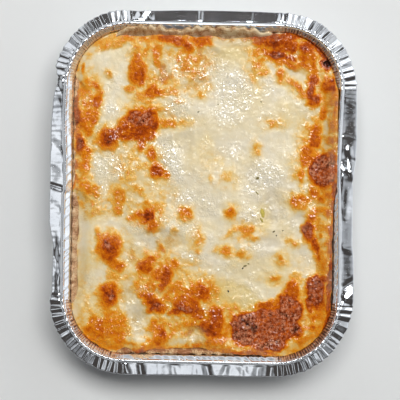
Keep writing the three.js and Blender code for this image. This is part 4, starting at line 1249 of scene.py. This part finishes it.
# The near end of the upper sheet is the most scorched
for sheet, far_scorch, near_scorch in [(upper_pasta, 0.0, 0.45), (lower_pasta, 0.1, 0.1)]:
    sheet_y = vertex_places(sheet)[:, 1]
    paint(sheet, "scorch", mix(near_scorch, far_scorch, smooth(-60, 60, sheet_y)))
dress(upper_pasta, pasta_material("pasta_baked_cream", (232, 211, 174), (209, 172, 126), (150, 98, 60)))
dress(lower_pasta, pasta_material("pasta_stained_tan", (218, 188, 150), (196, 154, 114), (146, 100, 68)))


# %% Mince and sauce
def mince_material(name, grain_size, pale, dark, roughness):
    material, tree, shader = new_material(name)
    place = tree.place()
    height, pores = grain(tree, place, grain_size)
    lumps = tree.add("ShaderNodeTexVoronoi", {"Vector": place, "Scale": 0.55 / grain_size})
    shade = tree.math("MULTIPLY_ADD", lumps.outputs["Distance"], 0.9, tree.math("MULTIPLY", pores, 0.25))
    colour = tree.ramp(shade, (0.1, *pale), (0.9, *dark))
    bump = tree.bump(tree.math("SUBTRACT", height, lumps.outputs["Distance"]), 0.9, 0.0015)
    connect(tree, shader, Base_Color=colour, Roughness=tree.spread(pores, 0, 1, roughness, 0.7), Normal=bump)
    return material


minced_beef = mince_material("minced_beef", 0.004, (156, 84, 50), (84, 40, 26), 0.45)
meat_sauce = mince_material("meat_sauce", 0.003, (176, 80, 44), (104, 44, 26), 0.3)
dress(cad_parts["beef_filling"], minced_beef)
dress(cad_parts["beef_sauce"], meat_sauce)

# %% Herbs and pepper
herb_material, tree, shader = new_material("dried_herb")
place = tree.place()
mottled = tree.math("SUBTRACT", tree.noise(place, 700.0), 0.5)
shade = tree.math("MULTIPLY_ADD", mottled, 0.7, tree.attribute("tone"))
colour = tree.ramp(shade, (0.0, 40, 34, 20), (0.4, 104, 94, 44), (0.7, 150, 138, 66), (1.0, 196, 178, 84))
rough = tree.spread(tree.noise(place, 500.0), 0.3, 0.7, 0.4, 0.7)
bump = tree.bump(tree.noise(place, 1600.0), 0.6, 0.0003)
connect(tree, shader, Base_Color=colour, Roughness=rough, Normal=bump)
dress(flecks, herb_material)

# %% [markdown]
# ## What each piece stands for
#
# Every new piece rides on the one body and hides the plain solid that it stands for. The solids stay in
# the collision model.

# %% Tie the pieces to the frame
for piece, slot, node in [
    (tray, "foil", "foil_tray"),
    (cheese, "cheese", "cheese_topping"),
    (flecks, "herb", "cheese_topping"),
    (lower_pasta, "pasta", "pasta_sheet_lower"),
    (upper_pasta, "pasta", "pasta_sheet_upper"),
]:
    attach(piece, "root")
    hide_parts(node)
    print(piece.name, "stands for", node)

# %% [markdown]
# ## Floor, light and camera
#
# The tray was seen from straight above on a white surface, under a large soft light that hung nearly
# overhead. Foil mirrors whatever stands round it, so the surroundings are built with bright and dark
# boards, as a studio does. Some boards, and a smaller and brighter image of the key light, are only
# mirrored: they put the glints on foil and wet cheese where they belong and leave the food's own tones
# alone. A photographer would get the same with narrow boards held close. The camera is turned a little,
# because the tray lay at a slight angle.

# %% Floor
FLOOR_HALF_SIZE = 3.0
FLOOR_GAP = 0.0003
floor_bm = bmesh.new()
bmesh.ops.create_grid(floor_bm, x_segments=2, y_segments=2, size=FLOOR_HALF_SIZE)
bmesh.ops.translate(floor_bm, verts=floor_bm.verts, vec=(0, 0, -FLOOR_GAP))
floor = new_piece("pale_floor", floor_bm)
floor_material, tree, shader = new_material("pale_board")
floor_colour = tree.ramp(tree.noise(tree.place(), 3.0), (0.3, 232, 235, 236), (0.7, 236, 238, 239))
connect(tree, shader, Base_Color=floor_colour, Roughness=0.7)
dress(floor, floor_material)


# %% Surroundings with bright and dark boards
def direction(azimuth, elevation):
    """A direction to a board: azimuth anticlockwise from +X, and elevation above the floor, in degrees."""
    a, e = math.radians(azimuth), math.radians(elevation)
    return (math.cos(a) * math.cos(e), math.sin(a) * math.cos(e), math.sin(e))


BOARDS = [
    # azimuth, elevation, half angle, soft edge, brightness, and 1 where it also lights the food and the floor
    (5, 32, 12, 12, 0.55, 1),
    (50, 40, 9, 9, 1.2, 1),
    (122, 40, 10, 9, 0.9, 1),
    (182, 55, 5, 5, 0.55, 0),
    (180, 56, 6, 14, 0.5, 0),
    (272, 55, 4, 5, 0.6, 0),
    (274, 56, 6, 14, 0.36, 0),
    (0, 53, 5, 8, 0.45, 0),
    (50, 44, 12, 10, 0.45, 0),
    (90, 54, 8, 8, 0.03, 0),
    (0, 8, 16, 12, 0.6, 1),
    (180, 10, 14, 12, 0.3, 0),
    (60, 8, 22, 14, 0.6, 1),
    (110, 8, 16, 12, 0.5, 1),
]
KEY_AZIMUTH = 72.0
KEY_ELEVATION = 72.0
KEY_DISTANCE = 2.2
KEY_LENGTH = 1.5
KEY_WIDTH = 0.74
KEY_ENERGY = 37.6
MIRRORED_LENGTH = 1.0
MIRRORED_WIDTH = 0.6
KEY_MIRRORED = 14.0
KEY_EDGE = 0.02
ROOM_LIGHT = 0.03
world = bpy.data.worlds.new("studio")
world.use_nodes = True
bpy.context.scene.world = world
tree = Tree(world.node_tree)
looking = tree.add("ShaderNodeTexCoord").outputs["Generated"]
height_seen = tree.add("ShaderNodeSeparateXYZ", {"Vector": looking}).outputs["Z"]


def seen_along(axis):
    """How far each way of looking points along an axis, from -1 to 1."""
    return tree.add("ShaderNodeVectorMath", {0: looking, 1: axis}, operation="DOT_PRODUCT").outputs["Value"]


light = ROOM_LIGHT
# The room that the foil mirrors is brightest near the floor
mirrored_only = tree.spread(height_seen, 0.0, 0.55, 0.28, 0.04)
for azimuth, elevation, half_angle, soft, brightness, lights_food in BOARDS:
    outer, inner = math.cos(math.radians(half_angle + soft)), math.cos(math.radians(half_angle))
    board = tree.spread(seen_along(direction(azimuth, elevation)), outer, inner, 0.0, brightness)
    if lights_food:
        light = tree.math("ADD", light, board)
    else:
        mirrored_only = tree.math("ADD", mirrored_only, board)
key_way = Vector(direction(KEY_AZIMUTH, KEY_ELEVATION))
key_along = Vector((0, 0, 1)).cross(key_way).normalized()
key_across = key_way.cross(key_along)
in_key = 1.0
for axis, half_size in [(key_along, MIRRORED_LENGTH / 2), (key_across, MIRRORED_WIDTH / 2)]:
    aside = tree.math("ABSOLUTE", seen_along(tuple(axis)))
    edge = half_size / KEY_DISTANCE
    in_key = tree.math("MULTIPLY", in_key, tree.spread(aside, edge + KEY_EDGE, edge - KEY_EDGE))
in_key = tree.math("MULTIPLY", in_key, tree.math("GREATER_THAN", height_seen, 0.0))
mirrored_only = tree.math("MULTIPLY_ADD", in_key, KEY_MIRRORED, mirrored_only)
mirrored = tree.add("ShaderNodeLightPath").outputs["Is Glossy Ray"]
light = tree.math("MULTIPLY_ADD", mirrored, mirrored_only, light)
background = world.node_tree.nodes["Background"]
world.node_tree.links.new(light, background.inputs["Strength"])
# Dark parts of the room are a little warm and the boards a little cool
tint = tree.mix(tree.spread(light, 0.03, 0.2), (1.0, 0.86, 0.78, 1), (0.95, 0.975, 1.0, 1))
world.node_tree.links.new(tint, background.inputs["Color"])

# %% Key light
key = bpy.data.lights.new("key_softbox", "AREA")
key.shape = "RECTANGLE"
key.size, key.size_y = KEY_LENGTH, KEY_WIDTH
key.energy = KEY_ENERGY
key.color = (1.0, 0.985, 0.96)
key_object = bpy.data.objects.new("key_softbox", key)
bpy.context.scene.collection.objects.link(key_object)
key_object.location = key_way * KEY_DISTANCE
key_object.visible_glossy = False
key_object.rotation_euler = (-key_object.location).to_track_quat("-Z", "Y").to_euler()

# %% Camera
# The picture's width on the level of the lip, and the point there that it is centred on
PICTURE_WIDTH = 353.0
PICTURE_MIDDLE = (-1.9, -6.2)
CAMERA_ABOVE_LIP = 1100.0
PICTURE_TURN = 1.1
camera = bpy.data.cameras.new("camera")
camera.lens = camera.sensor_width * CAMERA_ABOVE_LIP / PICTURE_WIDTH
camera_object = bpy.data.objects.new("camera", camera)
bpy.context.scene.collection.objects.link(camera_object)
camera_object.location = Vector((*PICTURE_MIDDLE, CAMERA_ABOVE_LIP + TRAY_HEIGHT)) * MM
camera_object.rotation_euler = (0, 0, math.radians(PICTURE_TURN))
bpy.context.scene.camera = camera_object
bpy.context.scene.view_settings.view_transform = "Standard"
print("camera lens", round(camera.lens, 1), "mm")
